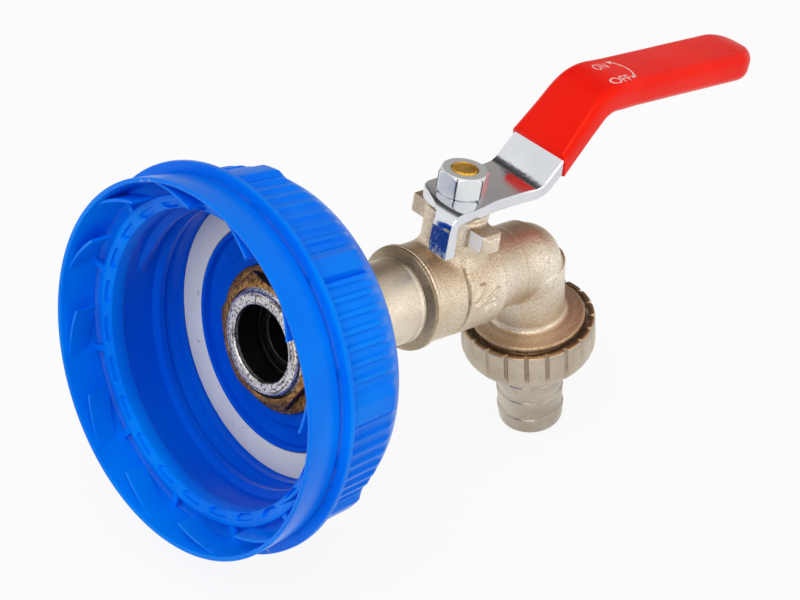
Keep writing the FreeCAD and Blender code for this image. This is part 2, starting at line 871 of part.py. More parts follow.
# Stem: shoulder against blow-out, two ring grooves, flats for the lever and a threaded end.
GROOVE_HALF = "(ring_section_rad + groove_play)"
UPPER_RING = "(ring_low + ring_pitch)"
stem_turned = on_stem_axis(
    "stem_turned",
    [
        ("0", "stem_shoulder_low"),
        ("stem_shoulder_rad", "stem_shoulder_low"),
        ("stem_shoulder_rad", SHOULDER_TOP),
        ("stem_rad", SHOULDER_TOP),
        ("stem_rad", f"ring_low - {GROOVE_HALF}"),
        ("groove_rad", f"ring_low - {GROOVE_HALF}"),
        ("groove_rad", f"ring_low + {GROOVE_HALF}"),
        ("stem_rad", f"ring_low + {GROOVE_HALF}"),
        ("stem_rad", f"{UPPER_RING} - {GROOVE_HALF}"),
        ("groove_rad", f"{UPPER_RING} - {GROOVE_HALF}"),
        ("groove_rad", f"{UPPER_RING} + {GROOVE_HALF}"),
        ("stem_rad", f"{UPPER_RING} + {GROOVE_HALF}"),
        ("stem_rad", "lever_low"),
        ("stem_thread_rad", "lever_low"),
        ("stem_thread_rad", "stem_top - stem_chamfer"),
        ("stem_thread_rad - stem_chamfer", "stem_top"),
        ("0", "stem_top"),
    ],
)
stem_tang = block(
    "stem_tang",
    "tang_thick",
    "2 * stem_rad - 2 * tang_setback",
    "stem_shoulder_low + tang_overlap - ball_rad + tang_depth - tang_play",
    ("stem_place - tang_thick / 2", "-stem_rad + tang_setback", "ball_rad - tang_depth + tang_play"),
)
FLATS_HEIGHT = "(lever_thick - flats_short)"
stem_flats = shared(
    "stem_flats",
    [
        cylinder("stem_flats_round", "stem_rad", FLATS_HEIGHT, ("stem_place", "0", "lever_low")),
        block(
            "stem_flats_block",
            "4 * stem_rad",
            "stem_flats",
            FLATS_HEIGHT,
            ("stem_place - 2 * stem_rad", "-stem_flats / 2", "lever_low"),
        ),
    ],
)
piece("valve_stem", joined("valve_stem", [stem_turned, stem_tang, stem_flats]))
piece(
    "stem_thrust_washer",
    on_stem_axis(
        "stem_thrust_washer",
        [
            ("stem_rad + stem_play", SHOULDER_TOP),
            ("stem_shoulder_rad", SHOULDER_TOP),
            ("stem_shoulder_rad", f"{SHOULDER_TOP} + thrust_thick"),
            ("stem_rad + stem_play", f"{SHOULDER_TOP} + thrust_thick"),
        ],
    ),
)


def o_ring(name, height):
    ring = doc.addObject("Part::Torus", name)
    ring.setExpression("Radius1", bound("groove_rad + ring_section_rad + ring_play"))
    ring.setExpression("Radius2", bound("ring_section_rad"))
    ring.setExpression("Placement.Base.z", bound(height))
    place_at_stem(ring)
    return ring


stem_o_rings = doc.addObject("Part::Compound", "stem_o_rings")
stem_o_rings.Links = [o_ring("lower_o_ring", "ring_low"), o_ring("upper_o_ring", UPPER_RING)]
piece("stem_o_rings", stem_o_rings)

# Lever: a cranked strip with its front end bent down, then trimmed to its outline seen from above.
STRIP_MIDDLE = "(lever_low + lever_thick / 2)"
GRIP_MIDDLE = f"({STRIP_MIDDLE} + lever_rise)"
LEVEL = "0 deg"
RISE_ANGLE = "atan(lever_rise / (lever_rise_place - lever_bend_place))"
DROP_ANGLE = "(-atan(lever_tip_drop / (lever_tip_place - lever_rise_place)))"


def strip_corner(across, up, before, after, offset):
    """A corner of a strip that turns from one angle to another, offset square to its middle line."""
    reach = f"({offset}) / cos(({after} - {before}) / 2)"
    lean = f"(({after} + {before}) / 2)"
    return (f"{across} - {reach} * sin({lean})", f"{up} + {reach} * cos({lean})")


def bend_corner(offset):
    return strip_corner("lever_bend_place", STRIP_MIDDLE, LEVEL, RISE_ANGLE, offset)


def rise_corner(offset):
    return strip_corner("lever_rise_place", GRIP_MIDDLE, RISE_ANGLE, DROP_ANGLE, offset)


def tip_corner(reach, offset):
    across = f"lever_tip_place + {reach}"
    up = f"{GRIP_MIDDLE} - lever_tip_drop + ({reach}) * tan({DROP_ANGLE})"
    return strip_corner(across, up, DROP_ANGLE, DROP_ANGLE, offset)


def at_corner(edge, corner):
    """Whether an edge runs straight across the strip at that corner."""
    place = Vector(value(corner[0]), 0, value(corner[1]))
    return all(Vector(end.X, 0, end.Z).distanceToPoint(place) < NEAR for end in edge.Vertexes)


HALF_STRIP = "(lever_thick / 2)"
TAB_OUTER = f"(-lever_front - {HALF_STRIP})"
TAB_INNER = f"(-lever_front + {HALF_STRIP})"
tab_corner_out = (TAB_OUTER, f"{STRIP_MIDDLE} + {HALF_STRIP}")
tab_corner_in = (TAB_INNER, f"{STRIP_MIDDLE} - {HALF_STRIP}")
strip = new_body("lever_strip")
pad(
    strip,
    "lever_side",
    "XZ_Plane",
    [
        (TAB_OUTER, "tab_bottom"),
        tab_corner_out,
        bend_corner(HALF_STRIP),
        rise_corner(HALF_STRIP),
        tip_corner("0", HALF_STRIP),
        tip_corner("0", "-" + HALF_STRIP),
        rise_corner("-" + HALF_STRIP),
        bend_corner("-" + HALF_STRIP),
        tab_corner_in,
        (TAB_INNER, "tab_bottom"),
    ],
    "2 * lever_width",
)
INSIDE_BEND = "lever_bend_rad - lever_thick / 2"
OUTSIDE_BEND = "lever_bend_rad + lever_thick / 2"
rounded(strip, "first_bend_in", INSIDE_BEND, lambda edge: at_corner(edge, bend_corner(HALF_STRIP)))
rounded(strip, "first_bend_out", OUTSIDE_BEND, lambda edge: at_corner(edge, bend_corner("-" + HALF_STRIP)))
rounded(strip, "second_bend_in", INSIDE_BEND, lambda edge: at_corner(edge, rise_corner("-" + HALF_STRIP)))
rounded(strip, "second_bend_out", OUTSIDE_BEND, lambda edge: at_corner(edge, rise_corner(HALF_STRIP)))
INSIDE_TAB = "tab_bend_rad - lever_thick / 2"
OUTSIDE_TAB = "tab_bend_rad + lever_thick / 2"
rounded(strip, "tab_bend_in", INSIDE_TAB, lambda edge: at_corner(edge, tab_corner_in))
rounded(strip, "tab_bend_out", OUTSIDE_TAB, lambda edge: at_corner(edge, tab_corner_out))
place_at_stem(strip)

WAIST = "lever_waist / 2"
WIDE = "lever_width / 2"
plan = new_body("lever_plan")
pad(
    plan,
    "lever_plan_pad",
    "XY_Plane",
    [
        (f"{TAB_OUTER} - past_face", "-tab_near_edge"),
        ("-stem_rad", "-tab_near_edge"),
        ("stem_rad", f"-{WAIST}"),
        ("swell_start", f"-{WAIST}"),
        ("swell_front", f"-{WIDE}"),
        ("swell_back", f"-{WIDE}"),
        ("swell_end", f"-{WAIST}"),
        ("lever_tip_place + past_face", f"-{WAIST}"),
        ("lever_tip_place + past_face", WAIST),
        ("swell_end", WAIST),
        ("swell_back", WIDE),
        ("swell_front", WIDE),
        ("swell_start", WAIST),
        ("-stem_rad", WAIST),
        (f"{TAB_OUTER} + corner_cut", f"{WAIST} - corner_cut / 3"),
        (f"{TAB_OUTER} + front_step", "-tab_near_edge + tab_width"),
        (f"{TAB_OUTER} - past_face", "-tab_near_edge + tab_width"),
    ],
    "lever_rise + lever_low",
    both_ways=False,
    height="tab_bottom - past_face",
)
place_at_stem(plan)
tab_side_gap = block(
    "tab_side_gap",
    "lever_front",
    "2 * lever_width",
    "lever_low - tab_bottom + past_face",
    (f"stem_place + {TAB_OUTER} - past_face", "-tab_near_edge + tab_width", "tab_bottom - past_face"),
)
flats_hole = shared(
    "flats_hole",
    [
        cylinder(
            "flats_hole_round",
            "stem_rad + hole_play",
            "lever_thick + 2 * past_face",
            ("stem_place", "0", "lever_low - past_face"),
        ),
        block(
            "flats_hole_block",
            "4 * stem_rad",
            "stem_flats + 2 * hole_play",
            "lever_thick + 2 * past_face",
            ("stem_place - 2 * stem_rad", "-stem_flats / 2 - hole_play", "lever_low - past_face"),
        ),
    ],
)
lever_blank = shared("lever_blank", [strip, plan])
piece("lever_plate", cut("lever_plate", lever_blank, joined("lever_cuts", [tab_side_gap, flats_hole])))

# Vinyl sleeve: the same middle line, thicker, with rounded edges, dipped over the strip.
HALF_SLEEVE = "(sleeve_thick / 2)"
SLEEVE_ACROSS = f"(lever_bend_place + sleeve_start * cos({RISE_ANGLE}))"
SLEEVE_UP = f"({STRIP_MIDDLE} + sleeve_start * sin({RISE_ANGLE}))"
sleeve_form = new_body("sleeve_form")
pad(
    sleeve_form,
    "sleeve_side",
    "XZ_Plane",
    [
        strip_corner(SLEEVE_ACROSS, SLEEVE_UP, RISE_ANGLE, RISE_ANGLE, HALF_SLEEVE),
        rise_corner(HALF_SLEEVE),
        tip_corner("sleeve_end", HALF_SLEEVE),
        tip_corner("sleeve_end", "-" + HALF_SLEEVE),
        rise_corner("-" + HALF_SLEEVE),
        strip_corner(SLEEVE_ACROSS, SLEEVE_UP, RISE_ANGLE, RISE_ANGLE, "-" + HALF_SLEEVE),
    ],
    "sleeve_width",
)
rounded(
    sleeve_form,
    "sleeve_bend_in",
    "lever_bend_rad - sleeve_thick / 2",
    lambda edge: at_corner(edge, rise_corner("-" + HALF_SLEEVE)),
)
rounded(
    sleeve_form,
    "sleeve_bend_out",
    "lever_bend_rad + sleeve_thick / 2",
    lambda edge: at_corner(edge, rise_corner(HALF_SLEEVE)),
)


def at_sleeve_tip(edge):
    """Whether an edge is one of the two upright corners of the sleeve's tip."""
    upright = abs(edge.Vertexes[0].Y - edge.Vertexes[-1].Y) < NEAR
    return upright and min(end.X for end in edge.Vertexes) > value("lever_tip_place")


def on_sleeve_side(edge):
    """Whether an edge runs along a side of the sleeve."""
    side = value("sleeve_width / 2") - NEAR
    level_start = value(SLEEVE_ACROSS + " + sleeve_thick")
    middle = edge.valueAt((edge.FirstParameter + edge.LastParameter) / 2)
    return abs(middle.y) > side and middle.x > level_start


rounded(sleeve_form, "sleeve_tip", "sleeve_tip_rad", at_sleeve_tip)
rounded(sleeve_form, "sleeve_edges", "sleeve_edge", on_sleeve_side)
place_at_stem(sleeve_form)
piece("grip_sleeve", cut("grip_sleeve", sleeve_form, doc.getObject("lever_plate")))

LEVER_TOP = "(lever_low + lever_thick)"
nut_blank = hexagon("nut_hex", "nut_flats", "nut_thick", LEVER_TOP, on_stem_axis)
nut_bore = cylinder(
    "nut_bore",
    "stem_thread_rad + thread_play",
    "nut_thick + 2 * past_face",
    ("stem_place", "0", f"{LEVER_TOP} - past_face"),
)
piece("handle_nut", cut("handle_nut", nut_blank, nut_bore))
piece(
    "stop_tab_label",
    block(
        "stop_tab_label",
        "label_thick",
        "label_width",
        "label_length",
        (
            f"stem_place + {TAB_OUTER} - label_thick",
            "-tab_near_edge + (tab_width - label_width) / 2",
            "label_top - label_length",
        ),
    ),
)

# Outlet: union nut over the spigot, the hose tail that it holds and the washer between.
WASHER_TOP = "(spigot_end + tail_washer_play)"
TAIL_TOP = f"({WASHER_TOP} + tail_washer_thick)"
TAIL_STEP = f"({TAIL_TOP} + tail_flange_thick)"
LIP_TOP = f"({TAIL_STEP} + thread_play)"
UNION_END = f"({LIP_TOP} + union_lip)"
UNION_MOUTH = "(spigot_collar_rad + union_mouth_play)"
union = on_outlet_axis(
    "union_nut",
    [
        (UNION_MOUTH, "union_top"),
        ("union_rad", "union_top"),
        ("union_rad", f"{UNION_END} - union_foot"),
        ("union_foot_rad", UNION_END),
        ("tail_rad + tail_hole_play", UNION_END),
        ("tail_rad + tail_hole_play", LIP_TOP),
        ("spigot_rad + thread_play", LIP_TOP),
        ("spigot_rad + thread_play", "union_top + union_mouth_depth"),
        (UNION_MOUTH, "union_top + union_mouth_depth"),
    ],
)
grip_notch = pocket(
    union,
    "union_notch",
    "XZ_Plane",
    [
        ("union_rad - union_grip_depth", "union_top - past_face"),
        ("union_rad + past_face", "union_top - past_face"),
        ("union_rad + past_face", f"{UNION_END} - union_foot / 2"),
        ("union_rad - union_grip_depth", f"{UNION_END} - union_foot / 2"),
    ],
    "union_grip_width",
    both_ways=True,
)
repeat(union, "union_notches", [grip_notch], "Z_Axis", "union_grip_count")
piece("union_nut", union)
piece(
    "tail_washer",
    on_outlet_axis(
        "tail_washer",
        [
            ("tail_bore_rad", WASHER_TOP),
            ("tail_flange_rad", WASHER_TOP),
            ("tail_flange_rad", TAIL_TOP),
            ("tail_bore_rad", TAIL_TOP),
        ],
    ),
)


def barb(number):
    """The corners of one barb: its step out, its land and the foot of its cone before the next step."""
    top = f"(barb_first + {number} * barb_pitch)"
    crest = "barb_rad" if number else "clip_land_rad"
    land = "barb_land" if number else "clip_land"
    foot = f"{top} + barb_pitch"
    waist = "barb_waist_rad"
    if number == SIZES["barb_count"] - 1:
        foot = "tail_end"
        waist = "tail_end_rad"
    return [(crest, top), (crest, f"{top} + {land}"), (waist, foot)]


tail_corners = [
    ("tail_bore_rad", TAIL_TOP),
    ("tail_flange_rad", TAIL_TOP),
    ("tail_flange_rad", TAIL_STEP),
    ("tail_rad", TAIL_STEP),
    ("tail_rad", "barb_first"),
]
for number in range(SIZES["barb_count"]):
    tail_corners += barb(number)
tail_corners.append(("tail_bore_rad", "tail_end"))
piece("hose_tail", on_outlet_axis("hose_tail", tail_corners))

# Every object has to be sound before anything is written.
doc.recompute()
for item in doc.Objects:
    if "Invalid" in item.State or "Error" in item.State:
        raise ValueError(f"{item.Name} is {item.State}")
for item in PIECES:
    if item.Shape.isNull() or not item.Shape.isValid() or not item.Shape.Solids:
        raise ValueError(item.Label + " has no sound solid")
for item in PIECES:
    item.Shape.exportStep(f"parts/{item.Label}.step")
    print(item.Label, len(item.Shape.Solids), round(item.Shape.Volume, 1))
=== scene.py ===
import math

import bmesh
import bpy
import numpy as np
from mathutils import Matrix, Vector


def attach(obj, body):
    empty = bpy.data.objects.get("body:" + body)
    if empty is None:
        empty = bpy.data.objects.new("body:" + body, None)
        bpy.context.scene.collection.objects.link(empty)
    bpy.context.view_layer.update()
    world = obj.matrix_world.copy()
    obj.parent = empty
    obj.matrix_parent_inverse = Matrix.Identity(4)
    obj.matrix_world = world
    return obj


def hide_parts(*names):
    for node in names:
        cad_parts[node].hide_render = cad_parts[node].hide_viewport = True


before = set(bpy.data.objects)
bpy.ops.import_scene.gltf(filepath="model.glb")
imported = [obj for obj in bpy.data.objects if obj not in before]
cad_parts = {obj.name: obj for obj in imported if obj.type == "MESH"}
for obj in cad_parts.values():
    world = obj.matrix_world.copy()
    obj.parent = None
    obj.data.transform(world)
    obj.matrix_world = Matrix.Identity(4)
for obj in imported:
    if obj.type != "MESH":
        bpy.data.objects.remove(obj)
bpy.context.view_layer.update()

# Cap shell: one injection moulding in blue polyethylene, with a soft sheen from the polished mould.
# Ribs and lugs run along the skirt, a coarse thread and a plain lead-in line the mouth, and a row of
# shallow pockets goes round its edge. The roof carries a retaining ring, a boss and the hole for the tap.
MM = 0.001
FULL_TURN = 2 * math.pi


class Value:
    """A socket of a node tree. Arithmetic on it adds Math nodes to the same tree."""

    def __init__(self, nodes, socket):
        self.nodes = nodes
        self.socket = socket

    def math(self, operation, *others, clamp=False):
        settings = {"operation": operation, "use_clamp": clamp}
        return self.nodes.add("ShaderNodeMath", settings, dict(enumerate([self, *others])))

    def __add__(self, other):
        return self.math("ADD", other)

    def __sub__(self, other):
        return self.math("SUBTRACT", other)

    def __rsub__(self, other):
        return (self * -1) + other

    def __mul__(self, other):
        return self.math("MULTIPLY", other)

    def __truediv__(self, other):
        return self.math("DIVIDE", other)

    def __mod__(self, other):
        return self.math("FLOORED_MODULO", other)

    def __abs__(self):
        return self.math("ABSOLUTE")

    def share(self, low, high):
        """Where it stands between two values, held to 0 and 1 and eased at both."""
        sockets = {0: self, 1: low, 2: high}
        return self.nodes.add("ShaderNodeMapRange", {"interpolation_type": "SMOOTHSTEP"}, sockets)

    __radd__ = __add__
    __rmul__ = __mul__


class Nodes:
    """Adds nodes to one tree."""

    def __init__(self, tree):
        self.tree = tree

    def add(self, kind, settings=None, sockets=None, out=0):
        """A node of that type with its settings, then the values or links of its sockets."""
        node = self.tree.nodes.new(kind)
        for name, setting in (settings or {}).items():
            setattr(node, name, setting)
        for name, given in (sockets or {}).items():
            if isinstance(given, Value):
                self.tree.links.new(given.socket, node.inputs[name])
            elif given is not None:
                node.inputs[name].default_value = given
        return Value(self, node.outputs[out]) if len(node.outputs) else None

    def vector_math(self, operation, first, second, out="Value"):
        return self.add("ShaderNodeVectorMath", {"operation": operation}, {0: first, 1: second}, out)

    def noise(self, place, scale, detail=2.0):
        return self.add("ShaderNodeTexNoise", {}, {"Vector": place, "Scale": scale, "Detail": detail})

    def blend(self, factor, first, second):
        """A colour between two others."""
        return self.add("ShaderNodeMix", {"data_type": "RGBA"}, {0: factor, 6: first, 7: second}, out=2)

    def parted(self, place):
        """The three coordinates of a place."""
        node = self.add("ShaderNodeSeparateXYZ", {}, {0: place}).socket.node
        return [Value(self, socket) for socket in node.outputs]

    def from_axis(self, place):
        """The distance of a place from the X axis."""
        _, across, up = self.parted(place)
        return (across * across + up * up).math("SQRT")

    def bump(self, height, strength, depth, normal=None):
        sockets = {"Height": height, "Strength": strength, "Distance": depth, "Normal": normal}
        return self.add("ShaderNodeBump", {}, sockets)


def tone(red, green, blue):
    """A colour read off a screen, from 0 to 255, as the shader wants it."""
    def straight(level):
        level = level / 255
        return level / 12.92 if level <= 0.04045 else ((level + 0.055) / 1.055) ** 2.4
    return (straight(red), straight(green), straight(blue), 1.0)


def new_finish(name):
    """A new material, its nodes and its Object coordinates."""
    material = bpy.data.materials.new(name)
    material.use_nodes = True
    material.node_tree.nodes.clear()
    nodes = Nodes(material.node_tree)
    return material, nodes, nodes.add("ShaderNodeTexCoord", out="Object")


def close_finish(nodes, sockets):
    """The material's shader, from its sockets."""
    shader = nodes.add("ShaderNodeBsdfPrincipled", {}, sockets)
    nodes.add("ShaderNodeOutputMaterial", {}, {"Surface": shader})


def near(nodes, place, centre, inner, outer):
    """1 within the inner distance of a point in millimetres, fading to 0 at the outer one."""
    gap = nodes.vector_math("DISTANCE", place, tuple(part * MM for part in centre))
    return 1 - gap.share(inner * MM, outer * MM)


SCUFFS = [(-6.9, 18.6, 38.7), (2.6, -26.6, -37.0)]
material, nodes, place = new_finish("moulded blue polyethylene")
CAP_BLUE = material
cloud = nodes.noise(place, 38, 3)
mottle = nodes.noise(place, 900, 4)
colour = nodes.blend(cloud.share(0.35, 0.7), tone(0, 118, 242), tone(0, 134, 252))
# Pale scuffs where the ring has been knocked, and dull rubbed patches.
scratch = nodes.noise(nodes.add("ShaderNodeMapping", {}, {0: place, 3: (1500, 260, 900)}), 1.0, 3)
scuffs = near(nodes, place, SCUFFS[0], 0.4, 3.2) + near(nodes, place, SCUFFS[1], 0.3, 2.6)
marks = (scratch.share(0.56, 0.62) * scuffs).math("MINIMUM", 1.0)
colour = nodes.blend(marks * 0.8, colour, tone(190, 215, 245))
# Little light reaches the wall and the roof from inside, so the blue is deeper there.
within = 1 - nodes.from_axis(place).share(37.0 * MM, 37.6 * MM)
within = within * nodes.parted(place)[0].share(0.8 * MM, 6.0 * MM)
colour = nodes.blend(within * 0.7, colour, tone(0, 62, 200))
rubbed_and_lit_face = nodes.noise(place, 120, 3).share(0.45, 0.75)
grain = nodes.bump(mottle, 0.12, 0.06 * MM)
close_finish(nodes, {
    "Base Color": colour,
    "Roughness": rubbed_and_lit_face * 0.14 + 0.3,
    "Specular IOR Level": 0.3,
    "Specular Tint": tone(20, 150, 255),
    "Normal": grain,
})


def eased(corners, ease=0.25, steps=3):
    """An outline with its corners rounded. A corner may bring its own rounding as a third number."""
    flat = [np.array(corner[:2], float) for corner in corners]
    rounded = []
    for index, corner in enumerate(flat):
        own = corners[index][2] if len(corners[index]) > 2 else ease
        if own == 0:
            rounded.append(corner)
            continue
        before = flat[index - 1] - corner
        after = flat[(index + 1) % len(flat)] - corner
        reach = [np.linalg.norm(before), np.linalg.norm(after)]
        back = min(own, reach[0] * 0.48) / reach[0]
        ahead = min(own, reach[1] * 0.48) / reach[1]
        for step in range(steps + 1):
            turn = step / steps
            rounded.append(corner + before * back * (1 - turn) ** 2 + after * ahead * turn**2)
    return np.array(rounded)


def skin(rows, closed=False):
    """Points and faces of a form drawn through loops of points, with two ends unless it is closed."""
    wide = len(rows[0])
    faces = []
    for row in range(len(rows) if closed else len(rows) - 1):
        here = row * wide
        beyond = (row + 1) % len(rows) * wide
        for one in range(wide):
            other = (one + 1) % wide
            faces.append([here + one, here + other, beyond + other, beyond + one])
    if not closed:
        faces += [list(range(wide)), list(range((len(rows) - 1) * wide, len(rows) * wide))]
    return np.array([tuple(point) for row in rows for point in row]), faces


def turned_to(section, angle):
    """A section of (depth, radius) as points at an angle about the X axis."""
    return [(depth, radius * math.cos(angle), radius * math.sin(angle)) for depth, radius in section]


def lathe(outline, steps, first=0.0, sweep=FULL_TURN):
    """Points and faces of a closed outline of (depth, radius) turned about the X axis."""
    whole = sweep == FULL_TURN
    turns = first + sweep * np.arange(steps if whole else steps + 1) / steps
    return skin([turned_to(outline, turn) for turn in turns], closed=whole)


def built(name, shapes, material, crease=38):
    """One mesh object from shapes in millimetres, closed, smooth and with its faces outwards."""
    points = []
    faces = []
    for shape_points, shape_faces in shapes:
        faces += [[corner + len(points) for corner in face] for face in shape_faces]
        points += (np.asarray(shape_points) * MM).tolist()
    mesh = bpy.data.meshes.new(name)
    mesh.from_pydata(points, [], faces)
    work = bmesh.new()
    work.from_mesh(mesh)
    bmesh.ops.remove_doubles(work, verts=work.verts, dist=2e-7)
    bmesh.ops.dissolve_degenerate(work, edges=work.edges, dist=1e-7)
    bmesh.ops.recalc_face_normals(work, faces=work.faces)
    work.to_mesh(mesh)
    work.free()
    return shown(name, mesh, material, crease)


def shown(name, mesh, material, crease=38):
    """An object for a finished mesh, smooth across edges up to the crease angle."""
    if not mesh.materials:
        mesh.materials.append(material)
    mesh.shade_smooth()
    mesh.set_sharp_from_angle(angle=math.radians(crease))
    item = bpy.data.objects.new(name, mesh)
    bpy.context.scene.collection.objects.link(item)
    return item


def ended(name, work, material, crease=38):
    """An object for a mesh that has been worked on."""
    mesh = bpy.data.meshes.new(name)
    work.to_mesh(mesh)
    work.free()
    return shown(name, mesh, material, crease)


def new_tree(name, sockets):
    """A geometry node tree with named inputs, and the values of those inputs."""
    tree = bpy.data.node_groups.new(name, "GeometryNodeTree")
    tree.interface.new_socket("Mesh", in_out="INPUT", socket_type="NodeSocketGeometry")
    for label, kind in sockets.items():
        tree.interface.new_socket(label, in_out="INPUT", socket_type=f"NodeSocket{kind}")
    tree.interface.new_socket("Finish", in_out="INPUT", socket_type="NodeSocketMaterial")
    tree.interface.new_socket("Mesh", in_out="OUTPUT", socket_type="NodeSocketGeometry")
    nodes = Nodes(tree)
    given = nodes.add("NodeGroupInput").socket.node
    return nodes, {socket.name: Value(nodes, socket) for socket in given.outputs if socket.name}


def end_tree(nodes, mesh, given):
    """Realizes what is there, gives it the finish and ends the tree."""
    whole = nodes.add("GeometryNodeRealizeInstances", {}, {"Geometry": mesh})
    dressed = nodes.add("GeometryNodeSetMaterial", {}, {"Geometry": whole, "Material": given["Finish"]})
    nodes.add("NodeGroupOutput", {}, {"Mesh": dressed})
    return nodes.tree


def grown(source, tree, sizes, material):
    """What a node tree makes of an object, as a plain mesh. The object goes."""
    modifier = source.modifiers.new(tree.name, "NODES")
    modifier.node_group = tree
    sizes = {**sizes, "Finish": material}
    for socket in tree.interface.items_tree:
        if socket.in_out == "INPUT" and socket.name in sizes:
            size = sizes[socket.name]
            modifier[socket.identifier] = float(size) if socket.socket_type == "NodeSocketFloat" else size
    evaluated = source.evaluated_get(bpy.context.evaluated_depsgraph_get())
    mesh = bpy.data.meshes.new_from_object(evaluated)
    source.modifiers.clear()
    bpy.data.objects.remove(source)
    return mesh


def joined(name, meshes, material, crease=38):
    """One object from several plain meshes."""
    work = bmesh.new()
    for mesh in meshes:
        work.from_mesh(mesh)
    bmesh.ops.remove_doubles(work, verts=work.verts, dist=1e-6)
    for face in work.faces:
        face.material_index = 0
    return ended(name, work, material, crease)


def ribbing_tree():
    """Raises ribs, and lugs with one sloping side, on a mesh turned about the X axis."""
    nodes, given = new_tree("Ribs and lugs round an axis", dict.fromkeys([
        "Rib count", "Rib height", "Rib width", "Rib angle", "Lug count", "Lug height", "Lug width",
        "Lug ramp", "Lug angle", "Flank", "Start", "Fade", "End", "Least radius",
    ], "Float"))
    place = nodes.add("GeometryNodeInputPosition")
    along, across, up = nodes.parted(place)
    radius = (across * across + up * up).math("SQRT")
    angle = up.math("ARCTAN2", across)

    def offset(count, first):
        pitch = count.math("DIVIDE", FULL_TURN).math("POWER", -1)
        return ((angle - first + pitch / 2) % pitch - pitch / 2) * radius

    flank = given["Flank"]
    rib = abs(offset(given["Rib count"], given["Rib angle"])) - given["Rib width"] / 2
    rib = (1 - rib.share(flank * -1, flank)) * given["Rib height"]
    side = offset(given["Lug count"], given["Lug angle"])
    step = 1 - (side - given["Lug width"] / 2).share(flank * -1, flank)
    ramp = (side + given["Lug width"] / 2 + given["Lug ramp"]).math("DIVIDE", given["Lug ramp"], clamp=True)
    lug = step * ramp * given["Lug height"]
    fade = 1 - along.share(given["End"] - given["Fade"], given["End"])
    held = along.math("GREATER_THAN", given["Start"]) * radius.math("GREATER_THAN", given["Least radius"])
    height = rib.math("MAXIMUM", lug) * fade * held
    push = nodes.add("ShaderNodeCombineXYZ", {}, {1: height * across / radius, 2: height * up / radius})
    moved = nodes.add("GeometryNodeSetPosition", {}, {"Geometry": given["Mesh"], "Offset": push})
    return end_tree(nodes, moved, given)


def copies_tree():
    """Copies of a mesh turned round the X axis, with touching points merged."""
    nodes, given = new_tree("Copies round an axis", {"Count": "Int", "First angle": "Float"})
    number = nodes.add("GeometryNodeInputIndex")
    angle = number * FULL_TURN / given["Count"] + given["First angle"]
    points = nodes.add("GeometryNodePoints", {}, {"Count": given["Count"]})
    turn = nodes.add("FunctionNodeAxisAngleToRotation", {}, {"Axis": (1, 0, 0), "Angle": angle})
    copies = nodes.add("GeometryNodeInstanceOnPoints", {}, {
        "Points": points, "Instance": given["Mesh"], "Rotation": turn,
    })
    whole = nodes.add("GeometryNodeRealizeInstances", {}, {"Geometry": copies})
    merged = nodes.add("GeometryNodeMergeByDistance", {}, {"Geometry": whole, "Distance": 2e-6})
    return end_tree(nodes, merged, given)


def helix(start, pitch, turns, root, crest, foot, top, steps, taper=0.06):
    """A right-hand thread's ridge along X, from its root radius to its crest, running out at both ends."""
    count = int(steps * turns)
    rows = []
    for share in np.linspace(0, 1, count + 1):
        rise = min(1.0, share * turns / taper, (1 - share) * turns / taper)
        rise = rise * rise * (3 - 2 * rise)
        tip = root + (crest - root) * rise
        middle = start + pitch * turns * share
        section = [(-foot, root), (-top - 0.1, (tip * 3 + root) / 4), (-top, tip), (top, tip),
                   (top + 0.1, (tip * 3 + root) / 4), (foot, root), (0, root + (root - crest) * 0.3)]
        rows.append(turned_to([(middle + x, r) for x, r in section], FULL_TURN * turns * share))
    return skin(rows)


RIBBING = ribbing_tree()
COPIES = copies_tree()
THREAD_ROOT = 35.2
LIP_RAD = 38.6
SKIRT_RAD = 41.2
SKIRT_TAPER = 1.0
ROOF_BACK = 26.0
SHOULDER = 8.0
HOLE_RAD = 13.4
LAND_RAD = 37.25
MOUTH_EDGE = (1.05, 35.25)

inside = eased([
    (0.0, LIP_RAD, 0.35), (0.0, LAND_RAD, 0), (*MOUTH_EDGE, 0), (4.2, 34.85, 0.2), (4.7, 35.2, 0.2),
    (15.2, THREAD_ROOT, 0.4), (17.6, 34.0, 0.4), (20.4, 34.0, 0.2), (20.8, 33.8, 0.2), (23.0, 33.8, 0.3),
    (23.0, 26.9, 0.3), (20.8, 26.9, 0.35), (20.8, 25.9, 0.35), (23.0, 25.9, 0.3), (23.0, 21.0, 0.3),
    (21.6, 21.0, 0.3), (21.6, HOLE_RAD, 0.3), (25.9, HOLE_RAD, 0.2), (25.9, 31.5, 2.5),
    (23.2, 37.2, 2.5), (18.0, 39.9, 2.5), (3.7, 41.0, 0.2), (3.7, 45.6, 0.4), (2.2, 45.6, 0.4),
    (2.2, 43.0, 0.5), (2.6, LIP_RAD, 0.3),
])
inside_mesh = built("cap_inside", [
    lathe(inside, 360, math.radians(-0.1)),
    helix(8.6, pitch=6.0, turns=2.02, root=THREAD_ROOT + 0.1, crest=33.4, foot=1.55, top=0.75, steps=180),
], CAP_BLUE)

